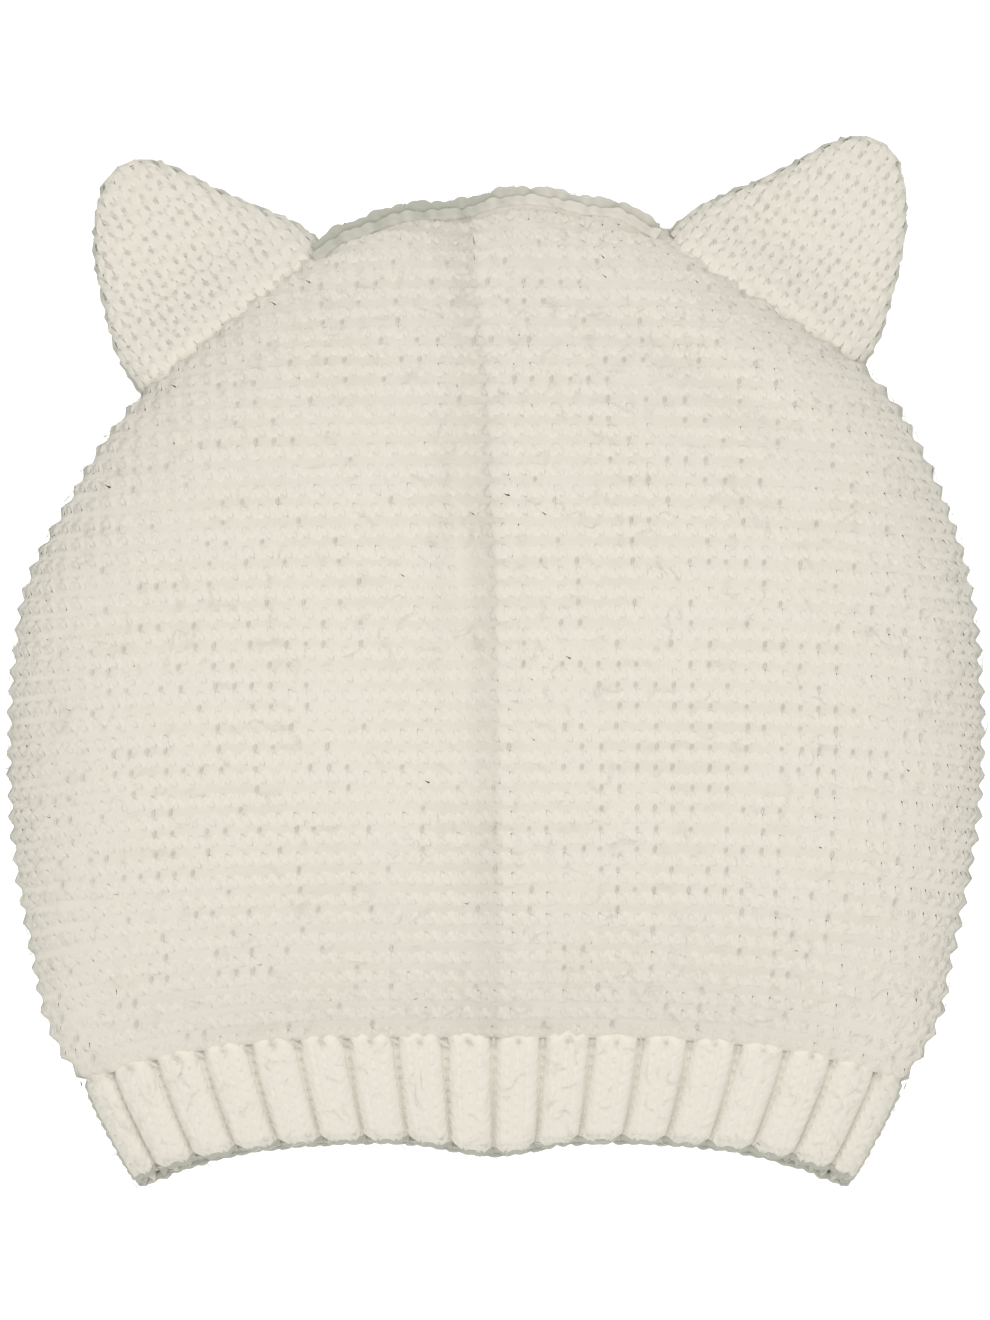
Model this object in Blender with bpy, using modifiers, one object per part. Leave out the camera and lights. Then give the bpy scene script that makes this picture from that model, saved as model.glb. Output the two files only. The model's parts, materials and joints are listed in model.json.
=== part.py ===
"""A baby hat with two ears, knitted, lying on its back with its opening towards -Y.

The crown is a soft garter stitch bag, the band at its opening is ribbed, and each ear is a flat
pocket of two layers that is sewn to a shoulder of the crown.
"""

import math
from collections import namedtuple

import bmesh
import bpy
import numpy as np

# Crown, in metres: length along the middle, half of the widest flat width, and the two halves of its loft
CROWN_LENGTH = 0.1772
BODY_HALF_WIDTH = 0.1027
SIDE_FOLD_HEIGHT = 0.0135
FRONT_RISE = 0.0300
CROWN_WALL = 0.0040

# Roundness of a course: 2 is an ellipse, and more is squarer
SIDE_POWER = 3.4
FRONT_POWER = 2.2
BACK_POWER = 3.0

# How far the side folds hang below the middle of a course, and how sharply
COURSE_DROOP = 0.0098
DROOP_POWER = 3.6

# Deepest soft dent in the front
DENT_DEPTH = 0.0024

# Rib band
BAND_LENGTH = 0.0258
BAND_WALL = 0.0032
BAND_TOP_HALF_WIDTH = 0.0871
HEM_HALF_WIDTH = 0.0757
RIB_COUNT = 36
RIB_DEPTH = 0.0015
HEM_RISE = 0.0010
HEM_SAG = 0.0030
HEM_SAG_REACH = 0.0125

# Ears: the height of each, half of the sewn base, and the pocket of two layers
EAR_LEFT_HEIGHT = 0.0398
EAR_RIGHT_HEIGHT = 0.0420
EAR_HALF_BASE = 0.0246
EAR_THICKNESS = 0.0098
EAR_WALL = 0.0028
EAR_TUCK = 0.0019
EAR_TIP_DROP = 0.0040
EAR_SIDE_POWER = 2.6

# Gaps that the ears and the band keep to the crown, and the length that an ear starts inside it
JOINT_GAP = 0.0003
BAND_GAP = 0.0005
EAR_INSIDE = 0.0160

# Mesh fineness
CROWN_ROWS = 29
FRONT_COLUMNS = 42
BACK_COLUMNS = 26
MIDDLE_CROWDING = 0.55
BAND_ROWS = 5
POINTS_PER_RIB = 4
EAR_ROWS = 11
EAR_COLUMNS = 22
DENSE_POINTS = 720

# Courses of the crown from the band to the top fold. along is a share of CROWN_LENGTH, centre and
# half of BODY_HALF_WIDTH, fold of SIDE_FOLD_HEIGHT, front of FRONT_RISE, back of the fold's height
# and droop of COURSE_DROOP. A back over 1 is pressed flat by the surface below.
Course = namedtuple("Course", "along centre half fold front back droop")
CROWN_COURSES = (
    Course(0.000, -0.005, 0.852, 0.86, 0.42, 1.10, 1.00),
    Course(0.022, -0.008, 0.884, 0.88, 0.50, 1.10, 0.97),
    Course(0.062, -0.007, 0.921, 0.91, 0.63, 1.12, 0.84),
    Course(0.130, -0.007, 0.947, 0.95, 0.79, 1.15, 0.68),
    Course(0.220, -0.005, 0.980, 0.99, 0.92, 1.18, 0.52),
    Course(0.333, 0.000, 0.999, 1.00, 1.00, 1.20, 0.42),
    Course(0.451, 0.001, 0.993, 1.00, 0.99, 1.20, 0.36),
    Course(0.546, 0.005, 0.970, 1.00, 0.95, 1.20, 0.34),
    Course(0.641, 0.021, 0.904, 1.00, 0.87, 1.18, 0.33),
    Course(0.724, 0.031, 0.829, 0.97, 0.77, 1.16, 0.32),
    Course(0.795, 0.040, 0.734, 0.93, 0.66, 1.14, 0.31),
    Course(0.854, 0.030, 0.618, 0.88, 0.55, 1.12, 0.30),
    Course(0.903, 0.018, 0.508, 0.84, 0.45, 1.08, 0.28),
    Course(0.941, 0.016, 0.408, 0.80, 0.36, 0.96, 0.24),
    Course(0.968, 0.024, 0.310, 0.76, 0.27, 0.76, 0.18),
    Course(0.988, 0.040, 0.196, 0.73, 0.17, 0.50, 0.10),
    Course(1.000, 0.050, 0.000, 0.72, 0.00, 0.00, 0.00),
)

# Soft dents and swells of the crown's front. x and reach_x are shares of BODY_HALF_WIDTH, along and
# reach_y of CROWN_LENGTH, and depth of DENT_DEPTH, where a swell is below zero.
Dent = namedtuple("Dent", "name x along reach_x reach_y turn_deg depth")
DENTS = (
    Dent("valley left of the seam", -0.065, 0.60, 0.045, 0.30, -2.0, 1.00),
    Dent("welt of the seam", 0.030, 0.50, 0.026, 0.62, -2.0, -0.50),
    Dent("shade right of the seam", 0.150, 0.11, 0.040, 0.13, 0.0, 0.50),
    Dent("slack in the right shoulder", 0.450, 0.77, 0.260, 0.030, -35.0, 0.55),
    Dent("slack above the band", -0.280, 0.12, 0.120, 0.090, 10.0, 0.35),
    Dent("step beside the seam at the top", -0.140, 0.975, 0.110, 0.030, 0.0, 0.60),
)

# Rows of the band from its top edge to its hem: shares of BAND_LENGTH, of the way in from the top's
# half width to the hem's, and of the crown's loft where the two meet
BandRow = namedtuple("BandRow", "along narrowing loft")
BAND_ROW_TABLE = (
    BandRow(0.00, 0.00, 1.00),
    BandRow(0.30, 0.24, 0.97),
    BandRow(0.70, 0.68, 0.93),
    BandRow(1.00, 1.00, 0.90),
)

# Outline of an ear from its base to its tip: shares of its height and of EAR_HALF_BASE, towards the
# top of the hat and towards its side, and of EAR_THICKNESS
EarRow = namedtuple("EarRow", "along inner outer thick")
EAR_OUTLINE = (
    EarRow(0.00, 1.00, 1.00, 1.00),
    EarRow(0.15, 0.94, 0.98, 1.00),
    EarRow(0.31, 0.81, 0.90, 1.00),
    EarRow(0.48, 0.64, 0.78, 0.98),
    EarRow(0.66, 0.49, 0.64, 0.94),
    EarRow(0.78, 0.40, 0.51, 0.88),
    EarRow(0.89, 0.30, 0.35, 0.78),
    EarRow(0.965, 0.17, 0.20, 0.58),
    EarRow(1.00, 0.00, 0.00, 0.00),
)

# Where each ear is sewn on: along is a share of CROWN_LENGTH, side is -1 for the left and 1 for the
# right, and lean_deg is the turn of its axis from +Y towards its side
EarSeat = namedtuple("EarSeat", "name side along lean_deg height")
EAR_SEATS = (
    EarSeat("ear_left", -1, 0.871, 37.2, EAR_LEFT_HEIGHT),
    EarSeat("ear_right", 1, 0.889, 37.2, EAR_RIGHT_HEIGHT),
)

# Colours of the yarn, and how dull it is
CREAM = (0.80, 0.75, 0.67, 1.0)
BAND_CREAM = (0.81, 0.76, 0.68, 1.0)
EAR_CREAM = (0.78, 0.73, 0.64, 1.0)
YARN_ROUGHNESS = 0.9


def clear_scene():
    """Removes what the scene starts with."""
    for obj in list(bpy.data.objects):
        bpy.data.objects.remove(obj, do_unlink=True)


def new_collection(name, hidden=False):
    """A collection in the scene, kept out of the render if it's hidden."""
    collection = bpy.data.collections.new(name)
    collection.hide_render = hidden
    bpy.context.scene.collection.children.link(collection)
    return collection


def yarn_material(name, colour):
    """A dull woollen surface."""
    material = bpy.data.materials.new(name)
    material.use_nodes = True
    shader = material.node_tree.nodes["Principled BSDF"]
    shader.inputs["Base Color"].default_value = colour
    shader.inputs["Roughness"].default_value = YARN_ROUGHNESS
    shader.inputs["Metallic"].default_value = 0.0
    return material


def smooth_rows(table, count):
    """Reads count rows off a smooth curve through the table's rows, as many between each two.

    The curve is a cubic through each pair of rows, whose slope at a row is the chord of its two
    neighbours. Distance along it is measured in the table's first three columns.
    """
    values = np.array(table)
    steps = np.linalg.norm(np.diff(values[:, :3], axis=0), axis=1)
    place = np.concatenate([[0.0], np.cumsum(steps)])
    slopes = np.gradient(values, place, axis=0)
    wanted = np.interp(np.linspace(0, len(table) - 1, count), np.arange(len(table)), place)
    at = np.clip(np.searchsorted(place, wanted, side="right") - 1, 0, len(table) - 2)
    span = (place[at + 1] - place[at])[:, None]
    t = (wanted - place[at])[:, None] / span
    rows = (
        (2 * t**3 - 3 * t**2 + 1) * values[at]
        + (t**3 - 2 * t**2 + t) * span * slopes[at]
        + (3 * t**2 - 2 * t**3) * values[at + 1]
        + (t**3 - t**2) * span * slopes[at + 1]
    )
    kind = type(table[0])
    return [kind(*row) for row in rows]


def signed_power(value, power):
    """The power of the value's size, with the value's sign."""
    return np.sign(value) * np.abs(value) ** power


def course_loop(angles, half, centre, fold, front, back):
    """(x, z) around one closed course, with z never below the surface that the hat lies on."""
    x = centre + half * signed_power(np.cos(angles), 2 / SIDE_POWER)
    rise = np.sin(angles)
    above = fold + front * np.abs(rise) ** (2 / FRONT_POWER)
    below = fold - back * np.abs(rise) ** (2 / BACK_POWER)
    return x, np.maximum(np.where(rise >= 0, above, below), 0.0)


def droop_of(x, half, centre, droop):
    """How far a point of a course hangs below the course's middle."""
    share = np.clip(np.abs(x - centre) / max(half, JOINT_GAP), 0.0, 1.0)
    return droop * share**DROOP_POWER


def crown_angles():
    """Angles round a course, closest together near the seam in the front."""
    even = np.linspace(-1.0, 1.0, FRONT_COLUMNS, endpoint=False)
    crowded = even * (MIDDLE_CROWDING + (1 - MIDDLE_CROWDING) * even**2)
    front = math.pi / 2 * (1 + crowded)
    back = np.linspace(math.pi, 2 * math.pi, BACK_COLUMNS, endpoint=False)
    return np.concatenate([front, back])


def dent_depth(x, y):
    """How far the front sinks at each point: the sum of the soft bells in the table."""
    depth = np.zeros_like(x)
    for dent in DENTS:
        turn = math.radians(dent.turn_deg)
        dx = x - dent.x * BODY_HALF_WIDTH
        dy = y - dent.along * CROWN_LENGTH
        across = (dx * math.cos(turn) + dy * math.sin(turn)) / (dent.reach_x * BODY_HALF_WIDTH)
        up = (dy * math.cos(turn) - dx * math.sin(turn)) / (dent.reach_y * CROWN_LENGTH)
        depth += dent.depth * DENT_DEPTH * np.exp(-(across**2) - up**2)
    return depth


def crown_row(course, angles):
    """The points of one course of the crown, in the frame that starts at the band's top edge."""
    half = course.half * BODY_HALF_WIDTH
    centre = course.centre * BODY_HALF_WIDTH
    fold = course.fold * SIDE_FOLD_HEIGHT
    x, z = course_loop(angles, half, centre, fold, course.front * FRONT_RISE, course.back * fold)
    y = course.along * CROWN_LENGTH - droop_of(x, half, centre, course.droop * COURSE_DROOP)
    facing_up = np.clip(np.sin(angles), 0.0, 1.0)
    z = z - facing_up * dent_depth(x, y)
    return np.stack([x, y, z], axis=1)


def loft(name, rows, collection, pole=None, material=None):
    """A surface through closed rows of points, closed at its far end by a pole if one is given."""
    mesh = bpy.data.meshes.new(name)
    shape = bmesh.new()
    rings = [[shape.verts.new(point) for point in row] for row in rows]
    count = len(rows[0])
    for near, far in zip(rings, rings[1:]):
        for i in range(count):
            j = (i + 1) % count
            shape.faces.new((near[i], far[i], far[j], near[j]))
    if pole is not None:
        tip = shape.verts.new(pole)
        for i in range(count):
            shape.faces.new((rings[-1][i], tip, rings[-1][(i + 1) % count]))
    shape.to_mesh(mesh)
    shape.free()
    mesh.shade_smooth()
    if material is not None:
        mesh.materials.append(material)
    obj = bpy.data.objects.new(name, mesh)
    collection.objects.link(obj)
    return obj


def close_start(obj, count):
    """Closes the open first row of a loft with one face."""
    shape = bmesh.new()
    shape.from_mesh(obj.data)
    shape.verts.ensure_lookup_table()
    shape.faces.new(shape.verts[:count])
    shape.to_mesh(obj.data)
    shape.free()


def knit_wall(obj, thickness):
    """Gives an open surface its wall, on the inside."""
    wall = obj.modifiers.new("wall", "SOLIDIFY")
    wall.thickness = thickness
    wall.offset = -1.0


def crown_surface(name, collection, material=None):
    """The crown's outer surface, open at the band."""
    angles = crown_angles()
    courses = smooth_rows(CROWN_COURSES, CROWN_ROWS)
    rows = [crown_row(course, angles) for course in courses[:-1]]
    top = courses[-1]
    pole = (
        top.centre * BODY_HALF_WIDTH,
        top.along * CROWN_LENGTH,
        top.fold * SIDE_FOLD_HEIGHT,
    )
    return loft(name, rows, collection, pole, material)


def make_crown(collection):
    """The garter stitch bag of the hat."""
    crown = crown_surface("crown", collection, yarn_material("crown_yarn", CREAM))
    knit_wall(crown, CROWN_WALL)
    return crown


def make_crown_envelope(collection):
    """A solid just larger than the crown, which trims the ears to its shoulders."""
    envelope = crown_surface("crown_envelope", collection)
    close_start(envelope, FRONT_COLUMNS + BACK_COLUMNS)
    grow = envelope.modifiers.new("gap", "DISPLACE")
    grow.strength = JOINT_GAP
    grow.mid_level = 0.0
    make_cutter(envelope)
    return envelope


def make_cutter(obj):
    """Marks a helper that only cuts other pieces."""
    obj.hide_render = True
    obj.display_type = "WIRE"


def spaced_loop(x, z, count):
    """count points at equal steps along a closed loop, from the front's middle, and their normals."""
    x = np.append(x, x[0])
    z = np.append(z, z[0])
    length = np.concatenate([[0.0], np.cumsum(np.hypot(np.diff(x), np.diff(z)))])
    wanted = np.arange(count) * length[-1] / count
    px = np.interp(wanted, length, x)
    pz = np.interp(wanted, length, z)
    run_x = np.roll(px, -1) - np.roll(px, 1)
    run_z = np.roll(pz, -1) - np.roll(pz, 1)
    size = np.hypot(run_x, run_z)
    return px, pz, run_z / size, -run_x / size


def band_row(row):
    """The points of one row of the band, with a groove between ribs."""
    first = CROWN_COURSES[0]
    count = RIB_COUNT * POINTS_PER_RIB
    half = BAND_TOP_HALF_WIDTH + (HEM_HALF_WIDTH - BAND_TOP_HALF_WIDTH) * row.narrowing
    centre = first.centre * BODY_HALF_WIDTH
    fold = first.fold * SIDE_FOLD_HEIGHT * row.loft
    front = first.front * FRONT_RISE * row.loft
    angles = math.pi / 2 + np.linspace(0.0, 2 * math.pi, DENSE_POINTS, endpoint=False)
    x, z = course_loop(angles, half, centre, fold, front, first.back * fold)
    x, z, out_x, out_z = spaced_loop(x, z, count)
    groove = np.where(np.arange(count) % POINTS_PER_RIB == 0, RIB_DEPTH, 0.0)
    droop = droop_of(x, half, centre, COURSE_DROOP * first.droop - HEM_RISE * row.along)
    sag = HEM_SAG * row.along * np.exp(-(((x - centre) / HEM_SAG_REACH) ** 2))
    y = -BAND_GAP - row.along * (BAND_LENGTH - HEM_SAG) - sag - droop
    return np.stack([x + out_x * groove, y, np.maximum(z + out_z * groove, 0.0)], axis=1)


def make_rib_band(collection):
    """The ribbed band round the opening."""
    rows = [band_row(row) for row in smooth_rows(BAND_ROW_TABLE, BAND_ROWS)]
    material = yarn_material("band_yarn", BAND_CREAM)
    band = loft("rib_band", rows[::-1], collection, material=material)
    knit_wall(band, BAND_WALL)
    return band


def shoulder_point(along, side):
    """(x, y, z) on the crown's side fold at a share of its length."""
    column = {name: [getattr(course, name) for course in CROWN_COURSES] for name in Course._fields}

    def at(name):
        return np.interp(along, column["along"], column[name])

    x = (at("centre") + side * at("half")) * BODY_HALF_WIDTH
    y = along * CROWN_LENGTH - at("droop") * COURSE_DROOP
    return x, y, at("fold") * SIDE_FOLD_HEIGHT


def ear_rows(seat, inset, columns):
    """Closed rows of an ear's surface from inside the crown to near its tip, and the tip itself.

    Each row is a flat rounded lens across the ear's axis. The axis starts on the shoulder and sinks
    towards the tip. inset is how far the surface lies inside the ear's outer one.
    """
    lean = math.radians(seat.lean_deg)
    axis = np.array([seat.side * math.sin(lean), math.cos(lean), 0.0])
    outward = np.array([seat.side * math.cos(lean), -math.sin(lean), 0.0])
    base = np.array(shoulder_point(seat.along, seat.side)) - axis * EAR_TUCK
    turn = np.linspace(0.0, 2 * math.pi, columns, endpoint=False) * seat.side

    def point_of(along, across, up):
        drop = EAR_TIP_DROP * np.clip(along / seat.height, 0.0, 1.0)
        height = np.asarray(base[2] - drop + up)
        flat = base[:2] + np.multiply.outer(along, axis[:2]) + np.multiply.outer(across, outward[:2])
        return np.concatenate([np.atleast_2d(flat), np.atleast_2d(height).T], axis=1)

    outline = smooth_rows(EAR_OUTLINE, EAR_ROWS)
    first = outline[0]
    rows = []
    for row in [first._replace(along=-EAR_INSIDE / seat.height)] + outline[:-1]:
        outer = max(row.outer * EAR_HALF_BASE - inset, JOINT_GAP)
        inner = max(row.inner * EAR_HALF_BASE - inset, JOINT_GAP)
        thick = max(row.thick * EAR_THICKNESS / 2 - inset, JOINT_GAP)
        side = signed_power(np.cos(turn), 2 / EAR_SIDE_POWER)
        across = np.where(side >= 0, outer, inner) * side
        up = thick * np.sin(turn)
        along = row.along * seat.height * (1 - inset / seat.height)
        rows.append(point_of(np.full(columns, along), across, up))
    tip = point_of(np.array([seat.height - inset]), np.array([0.0]), np.array([0.0]))
    return rows, tip[0]


def make_ear(seat, envelope, collection, cutters):
    """A pocket of two layers, open at its base, which fits the shoulder of the crown."""
    material = yarn_material(seat.name + "_yarn", EAR_CREAM)
    rows, tip = ear_rows(seat, 0.0, EAR_COLUMNS)
    ear = loft(seat.name, rows, collection, tip, material)
    close_start(ear, EAR_COLUMNS)
    rows, tip = ear_rows(seat, EAR_WALL, EAR_COLUMNS)
    pocket = loft(seat.name + "_pocket", rows, cutters, tip)
    close_start(pocket, EAR_COLUMNS)
    make_cutter(pocket)
    for name, cutter in (("pocket", pocket), ("shoulder", envelope)):
        cut = ear.modifiers.new(name, "BOOLEAN")
        cut.operation = "DIFFERENCE"
        cut.solver = "EXACT"
        cut.object = cutter
    return ear


def centre_on_floor(pieces, helpers):
    """Moves everything so that the middle of the pieces' footprint is the origin."""
    bpy.context.view_layer.update()
    graph = bpy.context.evaluated_depsgraph_get()
    corners = np.concatenate([[tuple(c) for c in piece.evaluated_get(graph).bound_box] for piece in pieces])
    middle = (corners.min(axis=0) + corners.max(axis=0)) / 2
    anchor = bpy.data.objects.new("baby_hat_with_ears", None)
    bpy.context.scene.collection.objects.link(anchor)
    for obj in pieces + helpers:
        obj.parent = anchor
    anchor.location = (-middle[0], -middle[1], 0.0)


def main():
    """Builds the hat."""
    clear_scene()
    hat = new_collection("baby_hat_with_ears")
    cutters = new_collection("cutters", hidden=True)
    envelope = make_crown_envelope(cutters)
    pieces = [make_crown(hat), make_rib_band(hat)]
    pieces += [make_ear(seat, envelope, hat, cutters) for seat in EAR_SEATS]
    centre_on_floor(pieces, list(cutters.objects))


main()
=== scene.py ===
"""Looks of a knitted baby hat with two ears, lying on its back with its opening towards -Y.

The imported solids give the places. Round them this script knits the hat row by row: every row is one
closed strand of yarn that bends into loops, in garter stitch on the crown, in two by one rib on the
band and in stocking stitch on the ears. Lengths are in metres, +Z is up.
"""

import sys

import json
import logging
import math
from dataclasses import dataclass, field
from enum import Enum
from typing import Callable, NamedTuple, Sequence

import bpy
import numpy as np
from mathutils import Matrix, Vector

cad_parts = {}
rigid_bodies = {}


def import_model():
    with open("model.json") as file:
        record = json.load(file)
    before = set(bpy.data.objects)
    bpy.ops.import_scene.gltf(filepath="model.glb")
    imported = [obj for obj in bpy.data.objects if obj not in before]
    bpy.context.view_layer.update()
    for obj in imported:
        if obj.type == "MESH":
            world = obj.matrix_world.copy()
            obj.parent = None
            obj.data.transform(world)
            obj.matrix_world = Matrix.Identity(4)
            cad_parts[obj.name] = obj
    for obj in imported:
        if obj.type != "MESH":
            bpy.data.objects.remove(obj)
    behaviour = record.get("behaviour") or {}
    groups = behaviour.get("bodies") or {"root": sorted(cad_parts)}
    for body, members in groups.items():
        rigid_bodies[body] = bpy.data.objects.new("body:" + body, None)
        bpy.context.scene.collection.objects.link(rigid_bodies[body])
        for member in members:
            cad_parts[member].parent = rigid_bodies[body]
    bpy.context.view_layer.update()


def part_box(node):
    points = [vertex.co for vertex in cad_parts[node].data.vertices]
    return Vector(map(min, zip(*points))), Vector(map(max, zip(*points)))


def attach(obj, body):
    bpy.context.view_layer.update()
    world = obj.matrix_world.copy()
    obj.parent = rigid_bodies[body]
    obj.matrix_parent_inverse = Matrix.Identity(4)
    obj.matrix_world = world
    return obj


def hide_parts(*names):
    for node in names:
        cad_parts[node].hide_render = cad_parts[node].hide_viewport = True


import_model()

Array = np.ndarray
Colour = tuple[float, float, float]
Range = tuple[float, float]
Relief = Callable[[np.ndarray, np.ndarray], np.ndarray]
Strand = tuple[np.ndarray, np.ndarray, np.ndarray, int, np.ndarray]
LOG = logging.getLogger("baby_hat")
MM = 0.001
ROOT = "root"
ROUND_STEPS = 1440
# Painted shade at the folds: how much the depth map, and so the colour, darkens there.
FOLD_SHADE = 4.5
FOLD_POWER = 5.5


class Course(NamedTuple):
    """One round of the crown, as shares of the hat's sizes (see HatSizes.round_of)."""

    along: float
    centre: float
    half: float
    fold: float
    front: float
    back: float
    droop: float


CROWN_COURSES = (
    Course(0.000, -0.005, 0.852, 0.86, 0.42, 1.10, 1.00),
    Course(0.022, -0.008, 0.884, 0.88, 0.50, 1.10, 0.97),
    Course(0.062, -0.007, 0.921, 0.91, 0.63, 1.12, 0.84),
    Course(0.130, -0.007, 0.947, 0.95, 0.79, 1.15, 0.68),
    Course(0.220, -0.005, 0.980, 0.99, 0.92, 1.18, 0.52),
    Course(0.333, 0.000, 0.999, 1.00, 1.00, 1.20, 0.42),
    Course(0.451, 0.001, 0.993, 1.00, 0.99, 1.20, 0.36),
    Course(0.546, 0.005, 0.970, 1.00, 0.95, 1.20, 0.34),
    Course(0.641, 0.021, 0.904, 1.00, 0.87, 1.18, 0.33),
    Course(0.724, 0.031, 0.829, 0.97, 0.77, 1.16, 0.32),
    Course(0.795, 0.040, 0.734, 0.93, 0.66, 1.14, 0.31),
    Course(0.854, 0.030, 0.618, 0.88, 0.55, 1.12, 0.30),
    Course(0.903, 0.018, 0.508, 0.84, 0.45, 1.08, 0.28),
    Course(0.941, 0.016, 0.408, 0.80, 0.36, 0.96, 0.24),
    Course(0.968, 0.024, 0.310, 0.76, 0.27, 0.76, 0.18),
    Course(0.988, 0.040, 0.196, 0.73, 0.17, 0.50, 0.10),
    Course(1.000, 0.050, 0.000, 0.72, 0.00, 0.00, 0.00),
)


class Dent(NamedTuple):
    """A soft bell in the crown's front: x and reach_x are shares of its half width.

    along and reach_y are shares of its length, and depth is one of HatSizes.dent_depth.
    """

    name: str
    x: float
    along: float
    reach_x: float
    reach_y: float
    turn_deg: float
    depth: float


DENTS = (
    Dent("valley left of the seam", -0.065, 0.60, 0.045, 0.30, -2.0, 1.00),
    Dent("welt of the seam", 0.030, 0.50, 0.026, 0.62, -2.0, -0.50),
    Dent("shade right of the seam", 0.150, 0.11, 0.040, 0.13, 0.0, 0.50),
    Dent("slack in the right shoulder", 0.450, 0.77, 0.260, 0.030, -35.0, 0.55),
    Dent("slack above the band", -0.280, 0.12, 0.120, 0.090, 10.0, 0.35),
    Dent("step beside the seam at the top", -0.140, 0.975, 0.110, 0.030, 0.0, 0.60),
)


class EarRow(NamedTuple):
    """A row of an ear: shares of its height, of its half base each way, and of its thickness."""

    along: float
    inner: float
    outer: float
    thick: float


EAR_OUTLINE = (
    EarRow(0.00, 1.00, 1.00, 1.00),
    EarRow(0.15, 0.94, 0.98, 1.00),
    EarRow(0.31, 0.81, 0.90, 1.00),
    EarRow(0.48, 0.64, 0.78, 0.98),
    EarRow(0.66, 0.49, 0.64, 0.94),
    EarRow(0.78, 0.40, 0.51, 0.88),
    EarRow(0.89, 0.30, 0.35, 0.78),
    EarRow(0.965, 0.17, 0.20, 0.58),
    EarRow(1.00, 0.00, 0.00, 0.00),
)


class EarSeat(NamedTuple):
    """Where an ear is sewn on: side, share of the crown's length, lean from +Y and height."""

    node: str
    side: int
    along: float
    lean_deg: float
    height: float


EAR_SEATS = (
    EarSeat("ear_left", -1, 0.871, 37.2, 0.0398),
    EarSeat("ear_right", 1, 0.889, 37.2, 0.0420),
)


class SeamSpot(NamedTuple):
    """A point of the seam line: share of the crown's length, and its distance right of the middle."""

    along: float
    right: float


SEAM_LINE = (
    SeamSpot(0.00, 0.0010),
    SeamSpot(0.09, 0.0017),
    SeamSpot(0.24, 0.0013),
    SeamSpot(0.34, 0.0008),
    SeamSpot(0.44, 0.0003),
    SeamSpot(0.54, -0.0003),
    SeamSpot(0.64, -0.0015),
    SeamSpot(0.77, -0.0023),
    SeamSpot(0.92, -0.0044),
    SeamSpot(1.00, -0.0052),
)


class Stitch(Enum):
    """How a loop lies: knit and purl rows of garter stitch, and the two faces of stocking stitch."""

    GARTER_KNIT = "garter_knit"
    GARTER_PURL = "garter_purl"
    SMOOTH = "smooth"


def signed_power(value: Array, power: float) -> Array:
    """The power of a value's size, with the value's sign.

    Args:
        value: any numbers.
        power: the exponent.

    Returns:
        The numbers raised, each with its old sign.
    """
    return np.sign(value) * np.abs(value) ** power


def unit(ways: Array) -> Array:
    """Vectors brought to length 1.

    Args:
        ways: the vectors, with x, y and z last.

    Returns:
        The unit vectors.
    """
    return ways / np.maximum(np.linalg.norm(ways, axis=-1, keepdims=True), 1e-12)


def fold_shade(normal: Array) -> Array:
    """How much painted shade the wool's colour takes at the folds: FOLD_SHADE t^FOLD_POWER, where t is 1 -
    |z|.

    Args:
        normal: the cloth's outward normals, with x, y and z last.

    Returns:
        What the depth map gains at each place.
    """
    return FOLD_SHADE * (1 - np.abs(normal[..., 2])) ** FOLD_POWER


class Bell(NamedTuple):
    """A soft patch where the cloth is slack or stretched: x, y, reach each way, and how much."""

    x: float
    y: float
    reach_x: float
    reach_y: float
    turn_deg: float
    amount: float


def bell_sum(bells: Sequence[Bell], x: Array, y: Array) -> Array:
    """The sum of the bells amount exp(-(across/reach)^2 - (up/reach)^2).

    Args:
        bells: the table.
        x: places across the hat.
        y: places along it.

    Returns:
        The sum at each place.
    """
    total = np.zeros_like(x)
    for bell in bells:
        turn = math.radians(bell.turn_deg)
        across = ((x - bell.x) * math.cos(turn) + (y - bell.y) * math.sin(turn)) / bell.reach_x
        up = ((y - bell.y) * math.cos(turn) - (x - bell.x) * math.sin(turn)) / bell.reach_y
        total = total + bell.amount * np.exp(-(across**2) - up**2)
    return total


def smooth_table(table: tuple, shares: Array) -> Array:
    """Reads a table along a smooth curve: a cubic through each two rows, its slope their neighbours' chord.

    Args:
        table: rows of numbers, whose first column rises.
        shares: values of the first column that are wanted.

    Returns:
        One row of numbers for each share.
    """
    values = np.array([tuple(row) for row in table])
    place = np.concatenate([[0.0], np.cumsum(np.linalg.norm(np.diff(values[:, :3], axis=0), axis=1))])
    slopes = np.gradient(values, place, axis=0)
    fine = np.linspace(0.0, place[-1], 4000)
    at = np.clip(np.searchsorted(place, fine, side="right") - 1, 0, len(table) - 2)
    span = (place[at + 1] - place[at])[:, None]
    t = (fine - place[at])[:, None] / span
    curve = (
        (2 * t**3 - 3 * t**2 + 1) * values[at]
        + (t**3 - 2 * t**2 + t) * span * slopes[at]
        + (3 * t**2 - 2 * t**3) * values[at + 1]
        + (t**3 - t**2) * span * slopes[at + 1]
    )
    first = np.maximum.accumulate(curve[:, 0])
    return np.stack([np.interp(shares, first, column) for column in curve.T], axis=1)


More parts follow.
